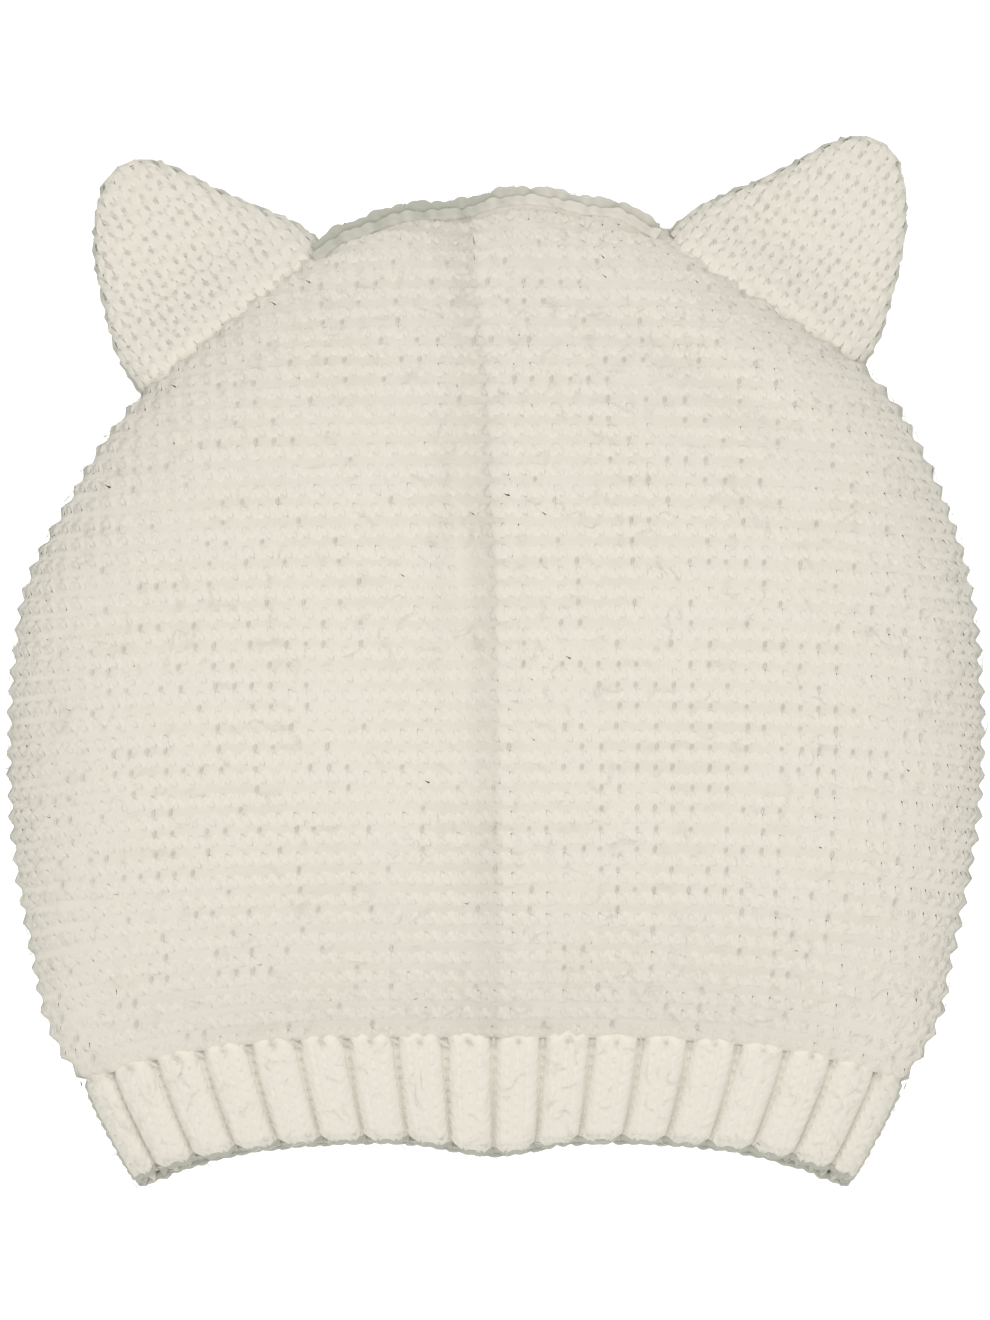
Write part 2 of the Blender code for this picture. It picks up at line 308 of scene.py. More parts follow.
@dataclass(frozen=True)
class HatSizes:
    """Driving sizes of the hat in metres. The crown's length, width and place come from its solid."""

    edge_y: float
    length: float
    half_width: float
    side_fold: float = 0.0135
    front_rise: float = 0.0300
    course_droop: float = 0.0098
    side_power: float = 3.4
    front_power: float = 2.2
    back_power: float = 3.0
    droop_power: float = 3.6
    dent_depth: float = 0.0024

    @classmethod
    def from_frame(cls, droop: float = 0.0098) -> "HatSizes":
        """Reads the crown's solid, whose first course hangs lowest by the droop at its sides.

        Args:
            droop: how far the side folds of the first course hang below its middle.

        Returns:
            The sizes of the hat.
        """
        low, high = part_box("crown")
        edge = low.y + droop
        return cls(edge_y=edge, length=high.y - edge, half_width=(high.x - low.x) / 2, course_droop=droop)

    def round_of(
        self, half: Array, centre: Array, fold: Array, front: Array, back: Array, angle: Array
    ) -> Array:
        """(x, z) round a course, a rounded flat loop: centre + half cos^(2/p) and fold + rise sin^(2/q).

        Args:
            half: half of the flat width.
            centre: x of the middle.
            fold: height of the side folds.
            front: rise of the front above the folds.
            back: drop of the back below the folds.
            angle: angles round the loop, 90 degrees at the front's middle.

        Returns:
            x and z as the last axis of one array, with z never below the floor.
        """
        x = centre + half * signed_power(np.cos(angle), 2 / self.side_power)
        rise = np.sin(angle)
        above = fold + front * np.abs(rise) ** (2 / self.front_power)
        below = fold - back * np.abs(rise) ** (2 / self.back_power)
        return np.stack([x, np.maximum(np.where(rise >= 0, above, below), 0.0)], axis=-1)

    def droop_at(self, x: Array, half: Array, centre: Array, droop: Array) -> Array:
        """How far a point hangs below its course's middle: droop times a power of its share of the half.

        Args:
            x: where the point is.
            half: half of the course's flat width.
            centre: x of the course's middle.
            droop: the drop at the side folds.

        Returns:
            The drop at each point.
        """
        share = np.clip(np.abs(x - centre) / np.maximum(half, 1e-5), 0.0, 1.0)
        return droop * share**self.droop_power

    def dent_at(self, x: Array, y: Array) -> Array:
        """How far the front sinks: the sum of the bells in the table.

        Args:
            x: places across the hat.
            y: places along it, from the band's top edge.

        Returns:
            The depth at each place.
        """
        wide, long = self.half_width, self.length
        bells = [
            Bell(x_share * wide, along * long, across * wide, up * long, turn, depth * self.dent_depth)
            for _, x_share, along, across, up, turn, depth in DENTS
        ]
        return bell_sum(bells, x, y)

    def crown_points(self, shares: Array, angle: Array) -> Array:
        """The crown's outer surface as a grid of courses by angles.

        Args:
            shares: shares of the crown's length, one for each course.
            angle: angles round a course.

        Returns:
            Points, courses by angles by three.
        """
        row = smooth_table(CROWN_COURSES, shares)[:, :, None]
        half, centre = row[:, 2] * self.half_width, row[:, 1] * self.half_width
        fold, front = row[:, 3] * self.side_fold, row[:, 4] * self.front_rise
        xz = self.round_of(half, centre, fold, front, row[:, 5] * fold, angle[None, :])
        x, z = xz[..., 0], xz[..., 1]
        y = row[:, 0] * self.length - self.droop_at(x, half, centre, row[:, 6] * self.course_droop)
        z = z - np.clip(np.sin(angle), 0.0, 1.0)[None, :] * self.dent_at(x, y)
        return np.stack([x, y + self.edge_y, z], axis=-1)

    def depth_in_crown(self, points: Array) -> Array:
        """Roughly how deep points lie in the closed outline of the crown, below zero outside it.

        Args:
            points: places, with x, y and z last.

        Returns:
            The depth, as the least of the ways out through front, back and side fold.
        """
        x, z = points[..., 0], points[..., 2]
        along = (points[..., 1] - self.edge_y) / self.length
        for _ in range(2):
            row = self._row_at(along)
            half, centre = row[2] * self.half_width, row[1] * self.half_width
            drop = self.droop_at(x, half, centre, row[6] * self.course_droop)
            along = (points[..., 1] - self.edge_y + drop) / self.length
        row = self._row_at(along)
        half, fold = row[2] * self.half_width, row[3] * self.side_fold
        share = np.abs(x - row[1] * self.half_width) / np.maximum(half, 1e-5)
        left = np.clip(1 - share**self.side_power, 0.0, 1.0)
        top = fold + row[4] * self.front_rise * left ** (1 / self.front_power)
        bottom = np.maximum(fold - row[5] * fold * left ** (1 / self.back_power), 0.0)
        depth = np.minimum(np.minimum(top - z, z - bottom), (1 - share) * half)
        outside = np.minimum((1 - share) * half, (1 - along) * self.length)
        return np.where((along < 1.0) & (share < 1.0), depth, outside)

    def _row_at(self, along: Array) -> list[Array]:
        """The columns of the crown's table, read along its smooth curve.

        Args:
            along: shares of the crown's length.

        Returns:
            Each column's values at the shares.
        """
        table = smooth_table(CROWN_COURSES, np.linspace(0.0, 1.0, 400))
        return [np.interp(along, table[:, 0], column) for column in table.T]

    def shoulder(self, along: float, side: int) -> Array:
        """The point on a side fold at a share of the crown's length.

        Args:
            along: the share.
            side: -1 for the left fold and 1 for the right one.

        Returns:
            The point.
        """
        columns = np.array(CROWN_COURSES).T
        _, centre, half, fold, _, _, droop = (float(np.interp(along, columns[0], c)) for c in columns)
        x = (centre + side * half) * self.half_width
        y = self.edge_y + along * self.length - droop * self.course_droop
        return np.array([x, y, fold * self.side_fold])


@dataclass
class Cloth:
    """A closed tube of cloth: where a point lies at v up the cloth, s round it and n above its outer face.

    loops holds rounds by angles by three, each starting at the front's middle and running to +X, and
    up holds v at each round. Each round is read off at equal steps of its own length, so that s is a
    true distance, from the line start to the right.
    """

    loops: Array
    up: Array
    start: Array
    columns: int = 640
    points: Array = field(init=False)
    normals: Array = field(init=False)
    lengths: Array = field(init=False)

    def __post_init__(self) -> None:
        """Evens out the rounds and works out their outward normals by differences."""
        closed = np.concatenate([self.loops, self.loops[:, :1]], axis=1)
        steps = np.linalg.norm(np.diff(closed, axis=1), axis=2)
        walked = np.concatenate([np.zeros((len(closed), 1)), np.cumsum(steps, axis=1)], axis=1)
        self.lengths = walked[:, -1]
        share = np.arange(self.columns) / self.columns
        rounds = []
        for ring, walk, start in zip(closed, walked, self.start):
            wanted = (share * walk[-1] + start) % walk[-1]
            rounds.append(np.stack([np.interp(wanted, walk, ring[:, axis]) for axis in range(3)], axis=1))
        self.points = np.array(rounds)
        round_way = np.roll(self.points, -1, axis=1) - np.roll(self.points, 1, axis=1)
        up_way = np.gradient(self.points, self.up, axis=0)
        self.normals = unit(np.cross(round_way, up_way))

    def length_at(self, v: Array) -> Array:
        """The length of the rounds.

        Args:
            v: distances up the cloth.

        Returns:
            The length of the round at each.
        """
        return np.interp(v, self.up, self.lengths)

    def at(self, v: Array, s: Array, n: Array) -> tuple[Array, Array]:
        """Points and outward normals, read between the four nearest places of the grid.

        Args:
            v: distances up the cloth.
            s: distances round it from the start line, to the right.
            n: heights above its outer face.

        Returns:
            The points and the normals, with x, y and z last.
        """
        low = np.clip(np.searchsorted(self.up, v, side="right") - 1, 0, len(self.up) - 2)
        a = ((v - self.up[low]) / (self.up[low + 1] - self.up[low]))[..., None]
        column = (s / self.length_at(v)) % 1.0 * self.columns
        left = column.astype(int) % self.columns
        b = (column - np.floor(column))[..., None]
        right = (left + 1) % self.columns

        def mixed(grid: Array) -> Array:
            """The grid's value between its four nearest places."""
            near = (1 - b) * grid[low, left] + b * grid[low, right]
            far = (1 - b) * grid[low + 1, left] + b * grid[low + 1, right]
            return (1 - a) * near + a * far

        normal = unit(mixed(self.normals))
        return mixed(self.points) + normal * np.asarray(n)[..., None], normal

    def draped(self, v: Array, s: Array, n: Array, relief: Relief) -> tuple[Array, Array]:
        """Points over the cloth with a relief on it, and the normals of the raised face.

        The normal is the cross product of the raised face's differences across and along the cloth.

        Args:
            v: distances up the cloth.
            s: distances round it from the start line, to the right.
            n: heights above the raised face.
            relief: gives how far the face is raised at v and s.

        Returns:
            The points and the normals.
        """
        step = 0.5 * MM
        right, left = (self.at(v, s + way, relief(v, s + way))[0] for way in (step, -step))
        above, below = (self.at(v + way, s, relief(v + way, s))[0] for way in (step, -step))
        return self.at(v, s, n + relief(v, s))[0], unit(np.cross(right - left, above - below))


def laid_flat(points: Array, give: float = 0.35 * MM) -> Array:
    """Points pressed onto the floor: z becomes give times ln(1 + exp(z / give)), which is never below zero.

    Args:
        points: places, with x, y and z last.
        give: how softly the yarn meets the floor.

    Returns:
        The points, none of them below the floor.
    """
    z = points[..., 2] / give
    pressed = points.copy()
    pressed[..., 2] = give * (np.maximum(z, 0.0) + np.log1p(np.exp(-np.abs(z))))
    return pressed


def linked(made: bpy.types.Object) -> bpy.types.Object:
    """Puts a new object in the scene.

    Args:
        made: the object.

    Returns:
        The same object.
    """
    bpy.context.scene.collection.objects.link(made)
    return made


@dataclass
class MeshParts:
    """Collects tubes and sheets for one piece, and makes it one mesh.

    softness and fibre_softness are how far the shading of strands and of fibres leans to the cloth's.
    """

    softness: float = 2.2
    fibre_softness: float = 0.8
    points: list[Array] = field(default_factory=list)
    faces: list[Array] = field(default_factory=list)
    corners: list[Array] = field(default_factory=list)
    painted_shade_depths: list[Array] = field(default_factory=list)
    shades: list[Array] = field(default_factory=list)
    count: int = 0

    def add(self, points: Array, faces: Array, corner_uv: Array, depth: Array, shade: Array) -> None:
        """Adds vertices and equal-sided faces.

        Args:
            points: vertices by three.
            faces: faces by corners, counted from this part's first vertex.
            corner_uv: faces by corners by two, in metres along the yarn and shares round it.
            depth: for each vertex, its painted shade: 0 at the cloth's face, 1 at its inside, more in
                creases.
            shade: for each vertex, the normal that its shading uses.
        """
        self.points.append(points)
        self.faces.append(faces + self.count)
        self.corners.append(corner_uv.reshape(-1, 2))
        self.painted_shade_depths.append(depth)
        self.shades.append(shade)
        self.count += len(points)

    def add_strand(
        self, path: Array, normal: Array, radius: Array, sides: int, depth: Array, closed: bool
    ) -> None:
        """Adds a round strand: rings of equal angles about the path, each in the plane across it.

        A ring's point is path + radius (cos a across + sin a above), where above is the normal with its
        share along the path taken out, and across completes the frame. The first point lies on top.
        Brushed wool scatters light between neighbouring strands, so on the side that faces out the
        shading normal leans to the cloth's: it is the ring's plus softness times the cloth's.

        Args:
            path: points of the middle line.
            normal: outward normals of the cloth there.
            radius: the strand's radius at each point.
            sides: points in a ring.
            depth: painted shade at each point: 0 at the cloth's face and 1 at its inside.
            closed: whether the last point joins the first. An open strand's ends are closed with a tip.
        """
        if closed:
            tangent = np.roll(path, -1, axis=0) - np.roll(path, 1, axis=0)
        else:
            tangent = np.gradient(path, axis=0)
        tangent = unit(tangent)
        above = unit(normal - np.sum(normal * tangent, axis=1, keepdims=True) * tangent)
        across = np.cross(tangent, above)
        turn = math.pi / 2 + 2 * math.pi * np.arange(sides) / sides
        ring = np.cos(turn)[None, :, None] * across[:, None] + np.sin(turn)[None, :, None] * above[:, None]
        points = path[:, None] + radius[:, None, None] * ring
        facing = np.sum(ring * normal[:, None], axis=2, keepdims=True)
        shade = ring + self.softness * np.clip((facing + 0.7) / 0.9, 0.0, 1.0) * normal[:, None]
        count = len(path)
        walked = np.concatenate([[0.0], np.cumsum(np.linalg.norm(np.diff(path, axis=0), axis=1))])
        walked = np.append(walked, walked[-1] + np.linalg.norm(path[0] - path[-1]))
        i = np.arange(count if closed else count - 1)[:, None]
        k = np.arange(sides)[None, :]
        after, beside = (i + 1) % count, (k + 1) % sides
        here, there = i * sides, after * sides
        faces = np.stack([here + k, there + k, there + beside, here + beside], axis=-1)
        here, there = walked[i] + 0.0 * k, walked[i + 1] + 0.0 * k
        low, high = (k + 0.0 * i) / sides, (k + 1 + 0.0 * i) / sides
        pairs = ((here, low), (there, low), (there, high), (here, high))
        uv = np.stack([np.stack(pair, axis=-1) for pair in pairs], axis=2)
        self.add(
            laid_flat(points).reshape(-1, 3),
            faces.reshape(-1, 4),
            uv.reshape(-1, 4, 2),
            np.repeat(depth, sides),
            shade.reshape(-1, 3),
        )
        if not closed:
            self._add_tips(laid_flat(points), depth, tangent)

    def _add_tips(self, rings: Array, depth: Array, tangent: Array) -> None:
        """Closes both ends of an open strand with a fan of triangles about the middle of its end ring.

        Args:
            rings: the strand's rings, points of the path by sides by three.
            depth: its depth at each point of the path.
            tangent: the way along the path at each.
        """
        sides = rings.shape[1]
        k = np.arange(sides)
        beside = (k + 1) % sides
        hub = np.full(sides, sides)
        for end, order, way in ((0, (k, beside, hub), -1), (-1, (beside, k, hub), 1)):
            points = np.concatenate([rings[end], rings[end].mean(axis=0, keepdims=True)])
            shade = np.tile(way * tangent[end], (sides + 1, 1))
            faces = np.stack(order, axis=1)
            self.add(points, faces, np.zeros((sides, 3, 2)), np.full(sides + 1, depth[end]), shade)

    def add_fibres(self, path: Array, normal: Array, beside: Array, radius: Array, depth: Array) -> None:
        """Adds many fine three-sided strands at once, with a triangle on each end.

        A ring's point is path + radius (cos a beside + sin a normal), for three equal angles a.

        Args:
            path: fibres by points by three.
            normal: for each fibre, the outward way at its root, shorter than 1 for a flat strand.
            beside: for each fibre, the direction across it.
            radius: the radius at each point along a fibre.
            depth: fibres by points, painted shade: 0 at the cloth's face and more where shade is painted.
        """
        count, length = path.shape[:2]
        turn = 2 * math.pi * np.arange(3) / 3
        ring = np.cos(turn)[:, None] * beside[:, None, None] + np.sin(turn)[:, None] * normal[:, None, None]
        ring = np.broadcast_to(ring, (count, length, 3, 3))
        points = laid_flat(path[:, :, None] + radius[None, :, None, None] * ring).reshape(-1, 3)
        shade = (ring + self.fibre_softness * unit(normal)[:, None, None]).reshape(-1, 3)
        i = 3 * np.arange(length - 1)[:, None]
        k = np.arange(3)[None, :]
        beyond = (k + 1) % 3
        sides = np.stack([i + k, i + beyond, i + 3 + beyond, i + 3 + k], axis=-1).reshape(1, -1, 4)
        ends = np.array([[[2, 1, 0], [3 * length - 3, 3 * length - 2, 3 * length - 1]]])
        first = 3 * length * np.arange(count)[:, None, None]
        sides = (sides + first).reshape(-1, 4)
        ends = (ends + first).reshape(-1, 3)
        self.add(points, sides, np.zeros((len(sides), 4, 2)), np.repeat(depth.ravel(), 3), shade)
        self.add(points[:0], ends - len(points), np.zeros((len(ends), 3, 2)), np.zeros(0), shade[:0])

    def add_sheet(self, outer: Array, inner: Array, normal: Array, depth: Array) -> None:
        """Adds a closed thin wall between two grids of rounds, joined at its first and last round.

        Args:
            outer: rounds by columns by three, on the outside.
            inner: the same on the inside.
            normal: the outward normals for shading.
            depth: painted shade at each place of the grid, as how deep in the cloth it counts, from 0 to 1.
        """
        rounds, columns = outer.shape[:2]
        grid = np.concatenate([outer, inner[::-1]])
        i = np.arange(2 * rounds)[:, None]
        k = np.arange(columns)[None, :]
        after, beside = (i + 1) % (2 * rounds), (k + 1) % columns
        here, there = i * columns, after * columns
        faces = np.stack([here + k, here + beside, there + beside, there + k], axis=-1)
        uv = np.zeros((faces.shape[0] * columns, 4, 2))
        shade = np.concatenate([normal, -normal[::-1]]).reshape(-1, 3)
        both = np.concatenate([depth, depth[::-1]]).ravel()
        self.add(laid_flat(grid).reshape(-1, 3), faces.reshape(-1, 4), uv, both, shade)

    def build(self, name: str, material: bpy.types.Material) -> bpy.types.Object:
        """Makes the piece, smooth shaded, with the maps yarn and depth, which carries the painted shade.

        Args:
            name: the piece's name.
            material: what it is made of.

        Returns:
            The new object, at the origin.
        """
        points = np.concatenate(self.points).astype(np.float32)
        flat = np.concatenate([faces.ravel() for faces in self.faces]).astype(np.int32)
        sizes = np.concatenate([np.full(len(faces), faces.shape[1]) for faces in self.faces])
        starts = np.concatenate([[0], np.cumsum(sizes)[:-1]]).astype(np.int32)
        mesh = bpy.data.meshes.new(name)
        mesh.vertices.add(len(points))
        mesh.vertices.foreach_set("co", points.ravel())
        mesh.loops.add(len(flat))
        mesh.loops.foreach_set("vertex_index", flat)
        mesh.polygons.add(len(starts))
        mesh.polygons.foreach_set("loop_start", starts)
        mesh.update(calc_edges=True)
        yarn = mesh.uv_layers.new(name="yarn")
        yarn.uv.foreach_set("vector", np.concatenate(self.corners).astype(np.float32).ravel())
        # The depth map carries the painted shade of the wool's colour.
        depth = mesh.attributes.new("depth", "FLOAT", "POINT")
        depth.data.foreach_set("value", np.concatenate(self.painted_shade_depths).astype(np.float32))
        mesh.shade_smooth()
        shade = unit(np.concatenate(self.shades))
        mesh.normals_split_custom_set_from_vertices(shade.astype(np.float32))
        mesh.materials.append(material)
        return linked(bpy.data.objects.new(name, mesh))


@dataclass(frozen=True)
class YarnFinish:
    """The wool's finish: colours are linear, lengths in metres.

    face is the colour of the raised yarn. The next two colours are painted shade: one for the inside
    of a stitch, and a darker one for open spots, creases, folds, grooves, the hem's edge and the top roll.
    """

    name: str
    face: Colour = (0.700, 0.655, 0.582)
    # Painted shade: darker wool colours that stand for the shade in stitches, spots and creases.
    shade_colour: Colour = (0.600, 0.562, 0.494)
    dark_shade_colour: Colour = (0.400, 0.398, 0.340)
    tint: Colour = (0.680, 0.644, 0.574)
    knit_range: Range = (0.15, 0.85)
    dark_shade_range: Range = (1.0, 2.0)
    tint_scale: float = 55.0
    tint_share: float = 0.5
    fibre_scale: float = 2600.0
    fibre_share: float = 0.15
    roughness: float = 0.95
    sheen: float = 0.30
    ply_pitch: float = 0.0034
    plies: float = 3.0
    ply_height: float = 0.00003
    fibre_height: float = 0.00005

    def material(self) -> bpy.types.Material:
        """Builds the material.

        Its colour goes from face to the shade colour as the depth map rises through knit_range, and on to
        the darker shade colour through the second range, so the depth map paints shade. It drifts towards
        the tint by a broad noise, and a fine noise darkens it a little towards the shade colour, painted
        shade between the fibres. Its bump is the plies' twist, a wave of u over the ply's pitch plus v
        times the plies, with fine fibres over it.

        Returns:
            The material.
        """
        material = bpy.data.materials.new(self.name)
        material.use_nodes = True
        nodes, links = material.node_tree.nodes, material.node_tree.links

        def fill(made: bpy.types.Node, inputs: dict[str | int, object]) -> bpy.types.Node:
            """The node, with each of its inputs linked to a socket or given a value."""
            for key, value in inputs.items():
                if isinstance(value, bpy.types.NodeSocket):
                    links.new(value, made.inputs[key])
                else:
                    made.inputs[key].default_value = value
            return made

        def node(kind: str, inputs: dict[str | int, object], **values: object) -> bpy.types.NodeOutputs:
            """The outputs of a new node of this kind, with its attributes set and its inputs filled."""
            made = nodes.new(kind)
            for key, value in values.items():
                setattr(made, key, value)
            return fill(made, inputs).outputs

        def maths(operation: str, *numbers: object) -> bpy.types.NodeSocket:
            """The result of an operation on one or two numbers or sockets."""
            return node("ShaderNodeMath", dict(enumerate(numbers)), operation=operation)["Value"]

        def ranged(source: object, start: Range, end: Range) -> bpy.types.NodeSocket:
            """A value carried from one range to another, and kept inside it."""
            ends = dict(zip(("From Min", "From Max", "To Min", "To Max"), start + end))
            return node("ShaderNodeMapRange", {"Value": source, **ends})["Result"]

        def mixed(factor: object, first: object, second: Colour) -> bpy.types.NodeSocket:
            """A socket's colour, or a plain one, mixed with a second one."""
            inputs = {0: factor, 6: first, 7: (*second, 1.0)}
            return node("ShaderNodeMix", inputs, data_type="RGBA", blend_type="MIX")[2]

        yarn = node("ShaderNodeUVMap", {}, uv_map="yarn")["UV"]
        place = node("ShaderNodeTexCoord", {})["Object"]
        scale = (1.0 / self.ply_pitch, self.plies, 1.0)
        twist = node("ShaderNodeMapping", {"Vector": yarn, "Scale": scale})["Vector"]
        split = node("ShaderNodeSeparateXYZ", {"Vector": twist})
        wave = maths("SINE", maths("MULTIPLY", maths("ADD", split["X"], split["Y"]), 2 * math.pi))
        fibres, broad = (
            node("ShaderNodeTexNoise", {"Vector": place, "Scale": scale, "Detail": detail})["Fac"]
            for scale, detail in ((self.fibre_scale, 3.0), (self.tint_scale, 2.0))
        )
        depth = node("ShaderNodeAttribute", {}, attribute_name="depth")["Fac"]
        # The depth map paints shade: the face colour darkens as it rises.
        colour = mixed(ranged(depth, self.knit_range, (0.0, 1.0)), (*self.face, 1.0), self.shade_colour)
        colour = mixed(ranged(broad, (0.35, 0.7), (0.0, self.tint_share)), colour, self.tint)
        # A fine noise darkens the colour a little: painted shade between the fibres.
        colour = mixed(ranged(fibres, (0.3, 0.7), (self.fibre_share, 0.0)), colour, self.shade_colour)
        # Where the depth map passes 1, darker painted shade for spots, creases and folds.
        colour = mixed(ranged(depth, self.dark_shade_range, (0.0, 1.0)), colour, self.dark_shade_colour)
        plies = node("ShaderNodeBump", {"Distance": self.ply_height, "Height": wave})["Normal"]
        heights = {"Distance": self.fibre_height, "Height": fibres, "Normal": plies}
        bump = node("ShaderNodeBump", heights)["Normal"]
        looks = {"Roughness": self.roughness, "Specular IOR Level": 0.25, "Sheen Weight": self.sheen}
        sheen = {"Sheen Roughness": 0.6, "Sheen Tint": (1.0, 0.98, 0.93, 1.0)}
        fill(nodes["Principled BSDF"], {**looks, **sheen, "Base Color": colour, "Normal": bump})
        return material


@dataclass
class LoopShape:
    """The form of one stitch: its loop's reach up and down, its bulge, and how far it stands out and in.

    squeeze is the share of the radius that the legs lose where the loops pull tight.
    """

    reach: float
    bulge: float
    relief: float
    radius: float
    squeeze: float
    steps: int = 8
    sides: int = 5

    def offsets(self, turn: Array, stitch: Stitch, width: Array) -> tuple[Array, Array, Array]:
        """Where the yarn goes within a stitch, at an angle from the head (0) past the foot (180 degrees).

        Across it moves width / 360 degrees, plus bulge sin 2a, so that the loop is wider than its neck. Up
        it is reach cos a. Out it is relief cos a in a knit row of garter stitch, the reverse in a purl
        row, and -relief cos 2a in stocking stitch, where the legs stand out and head and foot lie back.

        Args:
            turn: angles along the row.
            stitch: the kind of stitch.
            width: the stitch's width at each point.

        Returns:
            The moves across (without the width's own share), up and out.
        """
        across = self.bulge * np.sin(2 * turn) * width
        up = self.reach * np.cos(turn)
        if stitch is Stitch.SMOOTH:
            out = -self.relief * np.cos(2 * turn)
        else:
            out = self.relief * np.cos(turn) * (1 if stitch is Stitch.GARTER_KNIT else -1)
        return across, up, out

    def thickness(self, turn: Array) -> Array:
        """The yarn's radius at an angle: radius times 1 - squeeze sin^2 a, thinnest at the legs.

        Args:
            turn: angles along the row.

        Returns:
            The radius at each.
        """
        return self.radius * (1 - self.squeeze * np.sin(turn) ** 2)


@dataclass(frozen=True)
class HoleShades:
    """Open spots between stitches: thin teardrops of painted shade that lie between the loops."""

    length: float
    width: float
    slant: float = 0.2
    flatness: float = 0.4
    taper: tuple[float, ...] = (0.20, 1.0, 0.75, 0.15)
    # Painted shade along a spot, from one end to the other.
    shades: tuple[float, ...] = (1.0, 1.55, 1.4, 1.0)

    def add(
        self, parts: MeshParts, cloth: Cloth, v: Array, s: Array, n: Array, draw: np.random.Generator
    ) -> None:
        """Adds one spot at each place.

        A spot's point at t from 1/2 to -1/2 is its place moved up by length times t, and across by
        slant times that move.

        Args:
            parts: the piece under way.
            cloth: the cloth that the spots lie in.
            v: distances up the cloth.
            s: distances round it.
            n: heights above its face.
            draw: gives each spot its size and shade.
        """
        t = np.linspace(0.5, -0.5, len(self.taper))[None, :]
        tall = self.length * draw.uniform(0.6, 1.2, (len(v), 1)) * t
        path, normals = cloth.at(v[:, None] + tall, s[:, None] + self.slant * tall, n[:, None] + 0.0 * t)
        normal = unit(normals.mean(axis=1))
        way = unit(path[:, -1] - path[:, 0])
        depth = np.array(self.shades)[None, :] * draw.uniform(0.75, 1.0, (len(v), 1))
        radius = self.width / 2 * np.array(self.taper)
        parts.add_fibres(path, self.flatness * normal, np.cross(normal, way), radius, depth)


